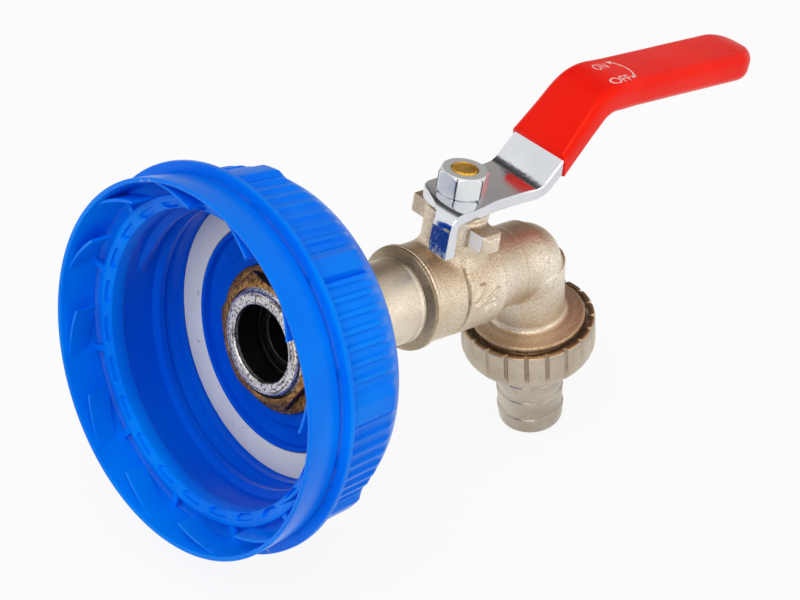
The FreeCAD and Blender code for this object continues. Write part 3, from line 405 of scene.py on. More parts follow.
# The skirt's outer wall is a thin shell of its own, fine enough round for the ribs.
roof_rad = SKIRT_RAD - SKIRT_TAPER
arc = [(ROOF_BACK - SHOULDER * (1 - math.sin(a)), roof_rad - SHOULDER * (1 - math.cos(a)))
       for a in np.linspace(0, math.pi / 2, 13)]
skirt_rows = [(3.5, 40.5), (3.5, SKIRT_RAD), (3.75, SKIRT_RAD), (6.0, SKIRT_RAD)]
skirt_rows += [(depth, SKIRT_RAD - SKIRT_TAPER * (depth - 6.0) / 12.0) for depth in np.linspace(7.5, 17.6, 9)]
skirt_rows += arc + [(ROOF_BACK, 25.0), (ROOF_BACK, HOLE_RAD + 0.15), (25.6, HOLE_RAD + 0.15), (25.6, 34.0)]
skirt_mesh = grown(built("cap_skirt", [lathe(skirt_rows, 1080)], CAP_BLUE), RIBBING, {
    "Rib count": 72, "Rib height": 0.9 * MM, "Rib width": 1.5 * MM, "Rib angle": math.radians(35),
    "Lug count": 8, "Lug height": 2.2 * MM, "Lug width": 4.4 * MM, "Lug ramp": 2.6 * MM,
    "Lug angle": math.radians(35), "Flank": 0.38 * MM, "Start": 3.6 * MM, "Fade": 3.4 * MM,
    "End": 21.6 * MM, "Least radius": 38 * MM,
}, CAP_BLUE)


def mouth_sector(steps=15, half=math.radians(7.5)):
    """A fifteen degree piece of the cone inside the mouth's land, with one pocket sunk into it."""
    def on_cone(radius, angle, sink=0.0):
        share = (LAND_RAD - radius) / (LAND_RAD - MOUTH_EDGE[1])
        return (MOUTH_EDGE[0] * share + sink, radius * math.cos(angle), radius * math.sin(angle))
    work = bmesh.new()
    turns = np.linspace(-half, half, steps + 1)
    border = [on_cone(LAND_RAD, turn) for turn in turns]
    border += [on_cone(MOUTH_EDGE[1], turn) for turn in reversed(turns)]
    pocket = [(37.05, -3.1), (37.05, 0), (37.05, 3.1), (36.3, 3.2), (35.42, 1.9), (35.42, -1.9), (36.3, -3.2)]
    edge = [(radius, side / radius) for radius, side in pocket]
    rings = [[work.verts.new(Vector(point) * MM) for point in border]]
    for shrink, sink in ((1.0, 0.0), (0.95, 0.08), (0.9, 0.3), (0.86, 0.8)):
        middle = 36.3
        ring = [on_cone(middle + (radius - middle) * shrink, turn * shrink, sink) for radius, turn in edge]
        rings.append([work.verts.new(Vector(point) * MM) for point in ring])
    outer = [work.edges.new((a, b)) for a, b in zip(rings[0], rings[0][1:] + rings[0][:1])]
    inner = [work.edges.new((a, b)) for a, b in zip(rings[1], rings[1][1:] + rings[1][:1])]
    bmesh.ops.triangle_fill(work, use_beauty=True, use_dissolve=False, edges=outer + inner)
    for above, below in zip(rings[1:], rings[2:]):
        for index in range(len(above)):
            beside = (index + 1) % len(above)
            work.faces.new((above[index], above[beside], below[beside], below[index]))
    work.faces.new(rings[-1])
    bmesh.ops.recalc_face_normals(work, faces=work.faces)
    if sum((face.normal.x * face.calc_area() for face in work.faces)) > 0:
        bmesh.ops.reverse_faces(work, faces=work.faces)
    return ended("cap_mouth_sector", work, CAP_BLUE)


# The pockets' ring takes the place of the plain cone, whose own faces go.
mouth_mesh = grown(mouth_sector(), COPIES, {"Count": 24, "First angle": math.radians(-1.6)}, CAP_BLUE)
work = bmesh.new()
work.from_mesh(inside_mesh.data)
cone = [face for face in work.faces
        if all(MOUTH_EDGE[1] - 0.01 < math.hypot(*vert.co.yz) / MM < LAND_RAD + 0.01 for vert in face.verts)
        and all(vert.co.x / MM < MOUTH_EDGE[0] + 0.01 for vert in face.verts)]
bmesh.ops.delete(work, geom=cone, context="FACES")
work.to_mesh(inside_mesh.data)
work.free()
cap = joined("cap_moulding", [inside_mesh.data, skirt_mesh, mouth_mesh], CAP_BLUE, 32)
bpy.data.objects.remove(inside_mesh)
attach(cap, "root")
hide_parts("cap_shell")

# Neck gasket: a flat ring cut from white polyethylene foam, pressed between the roof's retaining ring
# and the wall. Its face is faintly dimpled, with a few grey specks.
material, nodes, place = new_finish("white foam gasket")
specks = nodes.noise(place, 520, 2).share(0.66, 0.72)
cloud = nodes.noise(place, 70, 3)
colour = nodes.blend(cloud, tone(214, 215, 214), tone(234, 234, 231))
GASKET_WHITE = material
close_finish(nodes, {
    "Base Color": nodes.blend(specks * 0.5, colour, tone(120, 130, 150)),
    "Roughness": cloud * 0.2 + 0.5,
    "Normal": nodes.bump(nodes.noise(place, 1500, 3), 0.25, 0.08 * MM),
})
gasket = built("neck_gasket_ring", [
    lathe(eased([(21.2, 27.2), (21.2, 33.7), (23.0, 33.7), (23.0, 27.2)], 0.3), 240),
], GASKET_WHITE)
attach(gasket, "root")
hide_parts("neck_gasket")

# Tamper ring: moulded with the cap and of the same plastic, a thin leaning wall in front of the flange.
# Twelve flaps fold in from its front edge, each tall at one end and running out into the wall, and
# twelve small bridges tie it to the lip until the cap is first unscrewed.
ring_wall = eased([(-8.0, 42.95, 0.4), (-8.0, 44.15, 0.4), (1.4, 43.1, 0.3), (1.4, 41.9, 0.3)])


def ring_flap(first=5, last=22, steps=12):
    """One flap: a plate that leaves the wall at one end and stands well inside it at the other."""
    rows = []
    for share in np.linspace(0, 1, steps + 1):
        inner = 42.6 - 4.2 * share**1.1
        section = [(-6.6, inner), (-0.9, inner), (-0.9, inner + 0.8), (-6.6, inner + 0.8)]
        rows.append(turned_to(eased(section, 0.2), math.radians(first + (last - first) * share)))
    return skin(rows)


half_bridge = math.radians(1.15)
bridge = lathe(eased([(0.2, 38.5), (1.2, 38.5), (1.2, 42.4), (0.2, 42.4)], 0.2), 4,
               math.radians(6) - half_bridge, half_bridge * 2)
flap_meshes = grown(built("ring_flaps", [ring_flap(), bridge], CAP_BLUE), COPIES, {"Count": 12}, CAP_BLUE)
wall_mesh = built("ring_wall", [lathe(ring_wall, 360)], CAP_BLUE)
ring = joined("tamper_ring_moulding", [wall_mesh.data, flap_meshes], CAP_BLUE, 32)
bpy.data.objects.remove(wall_mesh)
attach(ring, "root")
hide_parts("tamper_ring")

# Reducing bush: cast brass under worn nickel, screwed through the roof from outside. Its threaded end
# shows inside the cap, rubbed silvery on the crests and dark between them.


def metal(name, bright, dull, roughness, grain_scale, grain_depth, blotch=40, bore_shade_rad=0.0):
    """A metal finish: two tones in blotches and a fine grain. Nearer the X axis than a radius it is painted
    black: painted shade in the bore.
    """
    material, nodes, place = new_finish(name)
    cloud = nodes.noise(place, blotch, 3)
    grain = nodes.noise(place, grain_scale, 4)
    colour = nodes.blend(cloud.share(0.3, 0.7), bright, dull)
    colour = nodes.blend(grain.share(0.5, 0.75) * 0.5, colour, dull)
    # Nearer the axis than the given radius the colour is painted black and not metallic: painted shade inside
    # the bore.
    unshaded = nodes.from_axis(place).share((bore_shade_rad - 0.05) * MM, bore_shade_rad * MM)
    close_finish(nodes, {
        "Base Color": nodes.blend(unshaded, tone(6, 5, 5), colour) if bore_shade_rad else colour,
        "Metallic": unshaded if bore_shade_rad else 1.0,
        "Roughness": grain.share(0.3, 0.7) * roughness[1] + roughness[0],
        "Normal": nodes.bump(grain, 0.6, grain_depth * MM),
    })
    return material


material, nodes, place = new_finish("worn nickel over brass")
BUSH_METAL = material
along, across, up = nodes.parted(place)
radius = nodes.from_axis(place)
sockets = {0: across / radius * 2, 1: up / radius * 2, 2: radius * 1900}
round_it = nodes.add("ShaderNodeCombineXYZ", {}, sockets)
streak = nodes.noise(round_it, 1.0, 5)
grain = nodes.noise(place, 1500, 4)
colour = nodes.blend(streak.share(0.5, 0.66), tone(240, 233, 220), tone(132, 122, 110))
colour = nodes.blend(grain.share(0.52, 0.62) * 0.8, colour, tone(44, 38, 34))
# The bore is painted black, which hides the metal there: painted shade inside the hole.
painted_bore_shade = (1 - radius.share(9.5 * MM, 9.75 * MM)) * along.share(16.6 * MM, 17.4 * MM)
painted_bore_shade = painted_bore_shade.math("MAXIMUM", (1 - radius.share(10.52 * MM, 10.58 * MM)) * along.share(21.8 * MM, 22.1 * MM))
close_finish(nodes, {
    "Base Color": nodes.blend(painted_bore_shade, colour, tone(6, 5, 5)),
    "Metallic": 1 - painted_bore_shade,
    "Roughness": grain * 0.3 + 0.28,
    "Normal": nodes.bump(grain + streak, 0.8, 0.22 * MM),
})


def six_sided(flats, low, high, bevel, bore, per_side=20):
    """A hexagon along X round a bore, its corners bevelled off at both ends."""
    apothem = flats / 2
    corner = apothem / math.cos(math.radians(30))
    rim = apothem - 0.15
    turns = np.arange(6 * per_side) * FULL_TURN / (6 * per_side)
    flat = np.minimum(apothem / np.cos((turns % math.radians(60)) - math.radians(30)), corner * 0.992)
    cuts = np.linspace(0, 1, 11)
    reach = rim + (corner - rim) * cuts
    levels = [(low, bore), *zip(low + bevel * cuts, reach), ((low + high) / 2, corner)]
    levels += [*zip(high - bevel * cuts[::-1], reach[::-1]), (high, bore)]
    rows = []
    for depth, limit in levels:
        radii = np.minimum(flat, limit)
        rows.append(np.stack([np.full(len(turns), depth), radii * np.cos(turns), radii * np.sin(turns)], -1))
    return skin(rows, closed=True)


PIPE_PITCH = 1.814
bush_shank = eased([
    (16.05, 9.3, 0.5), (16.05, 12.0, 0.3), (16.7, 12.45, 0.2), (28.5, 12.45, 0), (28.5, 10.6, 0),
    (22.0, 10.48, 0.2), (22.0, 9.3, 0.2),
])
bush = built("bush_shank_and_hexagon", [
    lathe(bush_shank, 180),
    helix(17.2, PIPE_PITCH, turns=4.6, root=12.4, crest=13.15, foot=0.85, top=0.2, steps=120),
    six_sided(flats=30.0, low=28.0, high=36.0, bevel=1.35, bore=10.48),
], BUSH_METAL, 30)
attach(bush, "root")
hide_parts("reducing_bush")

# Roof washer: a flat ring cut from black rubber sheet. The bush's hexagon squeezes it against the cap's
# roof, so that the hole round the bush is tight.
material, nodes, place = new_finish("black rubber")
BLACK_RUBBER = material
close_finish(nodes, {
    "Base Color": nodes.blend(nodes.noise(place, 200, 3), tone(22, 22, 23), tone(40, 40, 42)),
    "Roughness": nodes.noise(place, 150, 2) * 0.2 + 0.55,
    "Normal": nodes.bump(nodes.noise(place, 1200, 3), 0.2, 0.06 * MM),
})
washer = built("roof_washer_ring", [
    lathe(eased([(26.0, 13.4), (26.0, 18.2), (28.0, 18.2), (28.0, 13.4)], 0.5), 180),
], BLACK_RUBBER)
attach(washer, "root")
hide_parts("roof_washer")

# Backnut: cast brass, left rough and dull, run up on the bush inside the cap against the roof's boss.
material, nodes, place = new_finish("dull cast brass")
CAST_BRASS = material
grain = nodes.noise(place, 1500, 4)
cloud = nodes.noise(place, 160, 3)
colour = nodes.blend(cloud.share(0.35, 0.7), tone(196, 146, 84), tone(150, 104, 56))
colour = nodes.blend(grain.share(0.46, 0.6) * 0.75, colour, tone(74, 50, 28))
# Faces turned away from the cap's mouth, the hexagon's sides among them, are painted near black and less
# metallic: painted shade. Its face and the flange keep the brass.
rubbed_and_lit_face = (nodes.parted(nodes.add("ShaderNodeTexCoord", out="Normal"))[0] * -1).share(0.25, 0.6)
close_finish(nodes, {
    "Base Color": nodes.blend(rubbed_and_lit_face, tone(24, 17, 12), colour),
    "Metallic": rubbed_and_lit_face * 0.8 + 0.1,
    "Roughness": grain * 0.2 + 0.42,
    "Normal": nodes.bump(grain, 0.8, 0.3 * MM),
})
backnut = built("backnut_casting", [
    six_sided(flats=29.0, low=17.1, high=20.3, bevel=1.2, bore=13.2),
    lathe(eased([
        (19.6, 13.2), (19.6, 16.4), (19.95, 17.5), (20.3, 17.7), (21.6, 17.7), (21.6, 13.2),
    ], 0.25), 180),
], CAST_BRASS, 30)
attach(backnut, "root")
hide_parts("bush_backnut")

# Inlet piece: brass, turned on the thread and the collar and blasted elsewhere, all nickel plated. The
# collar's slanting face is painted in darker, greyer tones than the blasted body beside it: painted shade.
# Within 9.62 mm of the axis the inlet's bore is painted black: painted shade inside the hole.
INLET_NICKEL = metal("blasted nickel inlet", tone(236, 226, 208), tone(192, 174, 150), (0.27, 0.22),
                     2300, 0.16, bore_shade_rad=9.62)
# The collar's darker, greyer tones are painted shade on the machined nickel.
COLLAR_NICKEL_SHADED = metal("machined grey collar", tone(188, 172, 144), tone(112, 94, 70), (0.36, 0.2),
                      2300, 0.2)
inlet = built("inlet_neck", [
    lathe(eased([
        (24.0, 6.5), (24.0, 9.5), (24.8, 9.75), (38.6, 9.75), (39.6, 10.43), (57.0, 10.43, 0.5),
        (57.5, 10.6, 0.2), (58.2, 10.6, 0.2), (59.4, 11.0), (59.4, 10.3), (64.0, 10.3), (64.0, 6.5),
    ], 0.25), 180),
    helix(25.0, PIPE_PITCH, turns=7.4, root=9.7, crest=10.4, foot=0.85, top=0.2, steps=120),
], INLET_NICKEL, 34)
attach(inlet, "root")
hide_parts("inlet_piece")
collar = built("inlet_collar", [
    lathe(eased([(58.0, 10.45), (59.25, 12.75, 0.3), (59.85, 12.85, 0.1), (59.9, 10.45)], 0.15), 180),
], COLLAR_NICKEL_SHADED)
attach(collar, "root")

# Seals and seats inside the body: a black rubber ring at the joint, rubber rings on the stem, and two
# rings of white plastic that hold the polished ball. Only the first shows, as a thin dark seam.
material, nodes, place = new_finish("white seat plastic")
SEAT_WHITE = material
close_finish(nodes, {
    "Base Color": nodes.blend(nodes.noise(place, 90, 2), tone(232, 232, 226), tone(244, 244, 240)),
    "Roughness": nodes.noise(place, 300, 2) * 0.1 + 0.4,
})
BALL_CHROME = metal("polished ball", tone(232, 232, 234), tone(214, 214, 217), (0.06, 0.05), 600, 0.02)


def dressed(node, material):
    """Keeps a CAD node's shape and gives it a finish."""
    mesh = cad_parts[node].data
    mesh.materials.clear()
    mesh.materials.append(material)


for node in ("body_seal", "stem_o_rings", "tail_washer"):
    dressed(node, BLACK_RUBBER)
for node in ("seat_inlet", "seat_outlet", "stem_thrust_washer"):
    dressed(node, SEAT_WHITE)
dressed("ball", BALL_CHROME)

# Valve body: one brass casting, blasted and nickel plated. Its chamber, elbow, boss, stop lugs and the
# collar over the union run into each other with cast fillets, and a lathe has cut two fine grooves.
STEM_X = 74.0
OUTLET_X = 102.1
SLANT = math.radians(15.6)
DOWN = np.array([math.sin(SLANT), 0, -math.cos(SLANT)])
# An axis is a point on it and its direction.
TAP_AXIS = (np.zeros(3), np.array([1.0, 0, 0]))
STEM_AXIS = (np.array([STEM_X, 0, 0]), np.array([0, 0, 1.0]))
OUTLET_AXIS = (np.array([OUTLET_X, 0, 0]), DOWN)
ELBOW_RAD = 9.7
SOCKET_RAD = 10.35
PORT_RAD = 5.8
LUG_REACH = 13.1
NEAR_LUG = (-3.1, 3.2, 15.2, 19.7)
FAR_LUG = (-2.8, 3.4, 15.0, 19.7)
MARK_RAD = 12.2
GROOVES = (71.25, 83.8)


def soft_join(first, second, reach):
    """The nearer of two distances, blended over a fillet of that reach."""
    share = np.clip(0.5 + 0.5 * (second - first) / reach, 0, 1)
    return second + (first - second) * share - reach * share * (1 - share)


def about_axis(point, axis, table, ease=0.0):
    """Distance to a turned form: table gives the radius at each place along the axis."""
    base, along = axis
    offset = point - base
    place = offset @ along
    radius = np.linalg.norm(offset - place[..., None] * along, axis=-1)
    stops, radii = np.array(table).T
    side = (radius - np.interp(place, stops, radii)) * 0.93
    ends = np.maximum(stops[0] - place, place - stops[-1])
    outside = np.hypot(np.maximum(side + ease, 0), np.maximum(ends + ease, 0)) - ease
    return np.where((side + ease > 0) & (ends + ease > 0), outside, np.maximum(side, ends))


def strokes(point):
    """Distance to the raised mark on the near side, the pipe's size, drawn with round strokes."""
    turn = np.arctan2(point[..., 2], -point[..., 1])
    radius = np.hypot(point[..., 1], point[..., 2])
    flat = np.stack([point[..., 0] - 76.9, turn * MARK_RAD - 1.3], -1)
    lean = math.radians(-43)
    across = flat @ np.array([math.cos(lean), math.sin(lean)])
    up = flat @ np.array([-math.sin(lean), math.cos(lean)])
    bends = np.radians(np.arange(165, -46, -30))
    bow = [(2.6 + 1.05 * math.cos(bend), 0.65 + 1.05 * math.sin(bend)) for bend in bends]
    one = [(-4.3, 1.1), (-3.4, 2.0), (-3.4, -2.1)]
    slash = [(-1.9, -3.3), (1.2, 3.9)]
    two = [*bow, (1.6, -2.1), (3.9, -2.1)]
    nearest = np.full(across.shape, 9.0)
    for line in (one, slash, two):
        for (x0, y0), (x1, y1) in zip(line, line[1:]):
            way = np.array([x1 - x0, y1 - y0])
            share = np.clip(((across - x0) * way[0] + (up - y0) * way[1]) / (way @ way), 0, 1)
            gap = np.hypot(across - x0 - share * way[0], up - y0 - share * way[1])
            nearest = np.minimum(nearest, gap)
    return np.where(np.abs(turn) < 1.2, np.hypot(nearest, radius - MARK_RAD) - 0.48, 9.0)


def casting(point):
    """Signed distance, in millimetres, to the body: its outer form less its bores."""
    chamber = about_axis(point, TAP_AXIS, [
        (59.9, 12.6), (60.2, 12.9), (60.9, 12.9), (61.2, 12.6), (61.35, 12.0), (61.6, 12.0), (61.8, 12.2),
        (70.5, 12.15), (71.0, 11.55), (71.5, 11.55), (71.8, 12.2), (83.3, 12.15), (83.6, 11.4), (84.0, 11.1),
        (87.5, 10.7), (91.5, 9.8), (93.0, ELBOW_RAD),
    ], 0.2)
    level = about_axis(point, TAP_AXIS, [(80.0, ELBOW_RAD), (OUTLET_X - 1.6, ELBOW_RAD)])
    corner = np.linalg.norm(point - np.array([OUTLET_X - 1.2, 0, -0.9]), axis=-1) - ELBOW_RAD
    spout = about_axis(point, OUTLET_AXIS, [(1.2, ELBOW_RAD), (8.0, 9.45), (18.6, 9.3)])
    flange = about_axis(point, OUTLET_AXIS, [
        (16.7, 11.0), (17.6, 13.9), (17.8, 14.3), (19.0, 14.4), (19.2, 14.2), (19.25, 13.2), (24.2, 13.2),
    ], 0.15)
    boss = about_axis(point, STEM_AXIS, [(2.0, 7.6), (21.3, 7.6), (21.8, 7.2)], 0.2)
    local = point - STEM_AXIS[0]

    def lug(left, right, low, high, near):
        sides = [left - local[..., 0], local[..., 0] - right, low - local[..., 2], local[..., 2] - high]
        reach = local[..., 1] * (-1 if near else 1)
        sides += [reach - LUG_REACH, -reach]
        # The outer upright corners and the upper outer edge are cut off.
        for slope, end in ((1, right), (-1, -left)):
            sides.append((slope * local[..., 0] + reach - (end + LUG_REACH - 1.2)) * math.sqrt(0.5))
        sides.append((local[..., 2] + reach - (high + LUG_REACH - 1.0)) * math.sqrt(0.5))
        return np.max(sides, axis=0)

    lugs = np.minimum(lug(*NEAR_LUG, near=True), lug(*FAR_LUG, near=False))
    form = soft_join(chamber, soft_join(np.minimum(level, corner), spout, 1.2), 0.8)
    form = soft_join(form, flange, 1.8)
    form = soft_join(form, boss, 2.2)
    form = soft_join(form, lugs, 1.1)
    form = soft_join(form, strokes(point), 0.35)
    hollows = [
        about_axis(point, TAP_AXIS, [(50.0, SOCKET_RAD), (64.1, SOCKET_RAD)]),
        about_axis(point, TAP_AXIS, [(64.0, 9.05), (84.0, 9.05)]),
        about_axis(point, TAP_AXIS, [(80.0, PORT_RAD), (OUTLET_X, PORT_RAD)]),
        np.linalg.norm(point - OUTLET_AXIS[0], axis=-1) - PORT_RAD,
        about_axis(point, OUTLET_AXIS, [(0.0, PORT_RAD), (18.2, PORT_RAD), (18.3, 8.6), (30.0, 8.6)]),
        about_axis(point, STEM_AXIS, [(5.0, 5.45), (11.4, 5.45), (11.45, 4.25), (30.0, 4.25)]),
    ]
    return np.maximum(form, -np.min(hollows, axis=0))


def surface_of(distance, low, high, pitch):
    """Quads of a distance field's zero surface, then two steps that pull each corner onto it."""
    axes = [np.arange(a, b, pitch) for a, b in zip(low, high)]
    grid = np.stack(np.meshgrid(*axes, indexing="ij"), -1)
    field = distance(grid)
    inside = field < 0
    count = [len(axis) - 1 for axis in axes]
    total = np.zeros((*count, 3))
    hits = np.zeros(count)
    corners = [(i, j, k) for i in (0, 1) for j in (0, 1) for k in (0, 1)]

    def view(array, corner):
        return array[tuple(slice(c, c + n) for c, n in zip(corner, count))]

    for one in corners:
        for axis in range(3):
            if one[axis]:
                continue
            two = tuple(1 if index == axis else c for index, c in enumerate(one))
            a, b = view(field, one), view(field, two)
            crossing = (a < 0) != (b < 0)
            share = np.where(crossing, a / np.where(crossing, a - b, 1), 0)
            for index in range(3):
                offset = one[index] + (share if index == axis else 0)
                total[..., index] += np.where(crossing, offset, 0)
            hits += crossing
    used = hits > 0
    number = np.full(count, -1)
    number[used] = np.arange(used.sum())
    cells = np.argwhere(used)
    points = np.array(low) + pitch * (cells + total[used] / hits[used][:, None])
    faces = []
    for axis in range(3):
        u, v = (axis + 1) % 3, (axis + 2) % 3
        shift = np.roll(inside, -1, axis)
        crossing = inside != shift
        where = np.argwhere(crossing)
        where = where[(where[:, axis] < count[axis]) & (where[:, u] > 0) & (where[:, v] > 0)
                      & (where[:, u] < count[u]) & (where[:, v] < count[v])]
        quad = []
        for du, dv in ((0, 0), (-1, 0), (-1, -1), (0, -1)):
            cell = where.copy()
            cell[:, u] += du
            cell[:, v] += dv
            quad.append(number[tuple(cell.T)])
        faces.append(np.stack(quad, -1))
    faces = np.concatenate(faces)
    small = 0.02
    for _ in range(3):
        value = distance(points)
        slope = np.stack([(distance(points + small * np.eye(3)[i]) - value) / small for i in range(3)], -1)
        size = np.maximum((slope**2).sum(-1), 0.3)
        move = (value / size)[:, None] * slope
        length = np.linalg.norm(move, axis=-1, keepdims=True)
        points = points - move * np.minimum(1, 0.5 * pitch / np.maximum(length, 1e-9))
    return points, faces.tolist()


def down_outlet(nodes, place):
    """The distance of a place down the outlet's axis."""
    centred = nodes.vector_math("SUBTRACT", place, (OUTLET_X * MM, 0, 0), out="Vector")
    return nodes.vector_math("DOT_PRODUCT", centred, tuple(DOWN))


# The finish: an even speckle, soft flow marks, a browner tone round the collar and a painted warm reflection
# on top.
material, nodes, place = new_finish("blasted cast nickel")
CAST_NICKEL = material
grain = nodes.noise(place, 2300, 3)
flow = nodes.noise(place, 420, 3)
cloud = nodes.noise(place, 45, 3)
colour = nodes.blend(cloud.share(0.3, 0.7), tone(242, 233, 217), tone(216, 199, 175))
colour = nodes.blend(grain.share(0.4, 0.7) * 0.5, colour, tone(166, 145, 118))
along, across, up = nodes.parted(place)
facing = nodes.parted(nodes.add("ShaderNodeTexCoord", out="Normal"))[2]
# Upward faces are browner: a painted reflection of what stands above them. It is browner round the collar
# over the union too.
collar = down_outlet(nodes, place).share(16.2 * MM, 17.4 * MM)
brown = (facing.share(0.35, 0.95) * 0.55).math("MAXIMUM", collar * 0.7)
colour = nodes.blend(brown, colour, tone(158, 118, 76))
# The two turned grooves are painted darker: painted shade in the creases.
first, second = [1 - abs(along - groove * MM).share(0.2 * MM, 0.55 * MM) for groove in GROOVES]
low = 1 - nodes.from_axis(place).share(12.05 * MM, 12.2 * MM)
colour = nodes.blend(first.math("MAXIMUM", second) * low * 0.6, colour, tone(118, 92, 66))
# The near lug's side that faces the tap's mouth is painted near white and made less metallic: a painted
# highlight.
lug_side = (STEM_X + NEAR_LUG[0]) * MM
lug_side_glare = along.share(lug_side + 0.1 * MM, lug_side + 0.03 * MM) * across.share(-7.9 * MM, -8.1 * MM)
lug_side_glare = lug_side_glare * up.share(15.2 * MM, 15.5 * MM)
close_finish(nodes, {
    "Base Color": nodes.blend(lug_side_glare, colour, tone(252, 250, 246)),
    "Metallic": 1 - lug_side_glare * 0.9,
    "Roughness": grain.share(0.3, 0.7) * 0.2 + 0.3,
    "Normal": nodes.bump(grain * 0.9 + flow * 0.4, 0.7, 0.22 * MM),
})
# The two corners of the space that the body's surface is sought in, and the pitch of the search.
BODY_LOW = (59.5, -15.0, -28.5)
BODY_HIGH = (121.0, 15.0, 22.4)
BODY_PITCH = 0.37
body = built("valve_body_casting", [surface_of(casting, BODY_LOW, BODY_HIGH, BODY_PITCH)], CAST_NICKEL, 50)
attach(body, "root")
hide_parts("valve_body")


# Stem: turned brass, pushed up through the boss from inside. Its threaded end shows in the nut, bright
# yellow where the turning tool and the spanner have left it bare.
STEM_BRASS = metal("bright turned brass", tone(236, 190, 84), tone(176, 124, 30), (0.3, 0.2), 2600, 0.35, 160)
dressed("valve_stem", STEM_BRASS)


def placed(shape, axis):
    """A shape built along the X axis, moved to another axis."""
    points, faces = shape
    base, along = axis
    side = np.array([0.0, 1.0, 0.0])
    return base + points @ np.array([along, side, np.cross(along, side)]), faces


stem_tip = eased([
    (28.0, 0.0, 0), (31.55, 0.0, 0), (31.55, 2.5), (31.75, 2.7), (31.75, 2.95), (31.2, 3.2), (28.0, 3.2, 0),
], 0.1)
stem_end = built("stem_end", [
    placed(lathe(stem_tip, 72), STEM_AXIS),
    placed(helix(28.4, pitch=0.9, turns=3.0, root=3.15, crest=3.5, foot=0.42, top=0.08, steps=60), STEM_AXIS),
], STEM_BRASS, 30)
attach(stem_end, "handle")

# Lever: a steel strip, blanked, cranked twice and with its front end bent down as the stop tab. It is
# chromed all over, and the chrome on the slope keeps the strip's fine pebbled skin.
LEVER_THICK = 3.0
LEVER_CORNERS = [(-9.9, 13.8), (-9.9, 24.0), (19.7, 24.0), (38.3, 43.9), (98.0, 41.75)]
LEVER_BENDS = [2.6, 6.0, 9.5]
SLOPE = math.radians(46.9)


def bent_line(corners, radii, cuts=14):
    """Stations along a cranked middle line: distance, place across, place up and angle."""
    corners = [np.array(corner, float) for corner in corners]
    ways = [end - start for start, end in zip(corners, corners[1:])]
    angles = [math.atan2(way[1], way[0]) for way in ways]
    stations = [(0.0, *corners[0], angles[0])]
    for index, radius in enumerate(radii):
        turn = angles[index + 1] - angles[index]
        back = radius * abs(math.tan(turn / 2))
        start = corners[index + 1] - back * ways[index] / np.linalg.norm(ways[index])
        distance = stations[-1][0] + math.dist(stations[-1][1:3], start)
        side = math.copysign(1, turn)
        heading = angles[index]
        centre = start + side * radius * np.array([-math.sin(heading), math.cos(heading)])
        for cut in range(cuts + 1):
            angle = heading + turn * cut / cuts
            spot = centre - side * radius * np.array([-math.sin(angle), math.cos(angle)])
            stations.append((distance + radius * abs(turn) * cut / cuts, *spot, angle))
    distance = stations[-1][0] + math.dist(stations[-1][1:3], corners[-1])
    stations.append((distance, *corners[-1], angles[-1]))
    return np.array(stations)


LEVER_LINE = bent_line(LEVER_CORNERS, LEVER_BENDS)
TAB_BEND = LEVER_LINE[1][0]


def run_at(across):
    """The distance along the lever's line to a place beyond the tab, measured from the stem."""
    beyond = LEVER_LINE[12:]
    return float(np.interp(across, beyond[:, 1], beyond[:, 0]))


def on_lever(run, side, height):
    """A point of the bent lever: along its line, across it and square above its middle."""
    across = np.interp(run, LEVER_LINE[:, 0], LEVER_LINE[:, 1])
    up = np.interp(run, LEVER_LINE[:, 0], LEVER_LINE[:, 2])
    angle = np.interp(run, LEVER_LINE[:, 0], LEVER_LINE[:, 3])
    return Vector((STEM_X + across - height * math.sin(angle), side, up + height * math.cos(angle)))


def bent_strip(name, outline, material):
    """A flat outline of (run, side) made a slab with rounded edges, then bent along the lever's line."""
    work = bmesh.new()
    face = work.faces.new([work.verts.new((run, side, -LEVER_THICK / 2)) for run, side in outline])
    for item in bmesh.ops.extrude_face_region(work, geom=[face])["geom"]:
        if isinstance(item, bmesh.types.BMVert):
            item.co.z = LEVER_THICK / 2
    bmesh.ops.recalc_face_normals(work, faces=work.faces)
    rims = [one for one in work.edges if abs(one.verts[0].co.z - one.verts[1].co.z) < 1e-6]
    bmesh.ops.bevel(work, geom=rims, offset=0.38, segments=3, profile=0.5, affect="EDGES")
    for station in LEVER_LINE:
        parts = work.verts[:] + work.edges[:] + work.faces[:]
        bmesh.ops.bisect_plane(work, geom=parts, dist=1e-5, plane_co=(station[0], 0, 0), plane_no=(1, 0, 0))
    for vert in work.verts:
        vert.co = on_lever(*vert.co) * MM
    bmesh.ops.triangulate(work, faces=[face for face in work.faces if len(face.verts) > 4])
    return ended(name, work, material, 30)


material, nodes, place = new_finish("polished chrome")
CHROME = material
cloud = nodes.noise(place, 120, 2)
pebble = nodes.noise(place, 900, 3)
slope_only = near(nodes, place, (STEM_X + 24.5, 0, 28.5), 7.0, 11.0)
close_finish(nodes, {
    "Base Color": nodes.blend(cloud, tone(228, 230, 234), tone(206, 208, 214)),
    "Metallic": 1.0,
    "Roughness": pebble * 0.14 + 0.08,
    "Normal": nodes.bump(pebble, slope_only * 0.5 + 0.05, 0.2 * MM),
})
plan = [
    (0.0, -9.2, 0.9), (TAB_BEND + 1.0, -9.2), (run_at(-4.2), -9.2, 2.0), (run_at(4.2), -7.8, 2.0),
    (run_at(15), -7.8, 2.0), (run_at(20.5), -8.5, 2.0), (run_at(27), -8.5, 2.0), (run_at(33), -7.0, 2.0),
    (run_at(88.5), -6.2, 3.5), (run_at(88.5), 6.2, 3.5), (run_at(33), 7.0, 2.0), (run_at(27), 8.5, 2.0),
    (run_at(20.5), 8.5, 2.0), (run_at(15), 7.8, 2.0), (run_at(-4.2), 7.8, 1.6), (run_at(-6.4), 6.13, 1.6),
    (TAB_BEND + 1.9, -2.6, 0.4), (TAB_BEND + 1.2, -3.2, 0.3), (0.0, -3.2, 0.9),
]
lever = bent_strip("lever_strip", eased(plan, 0.2), CHROME)
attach(lever, "handle")
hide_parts("lever_plate")

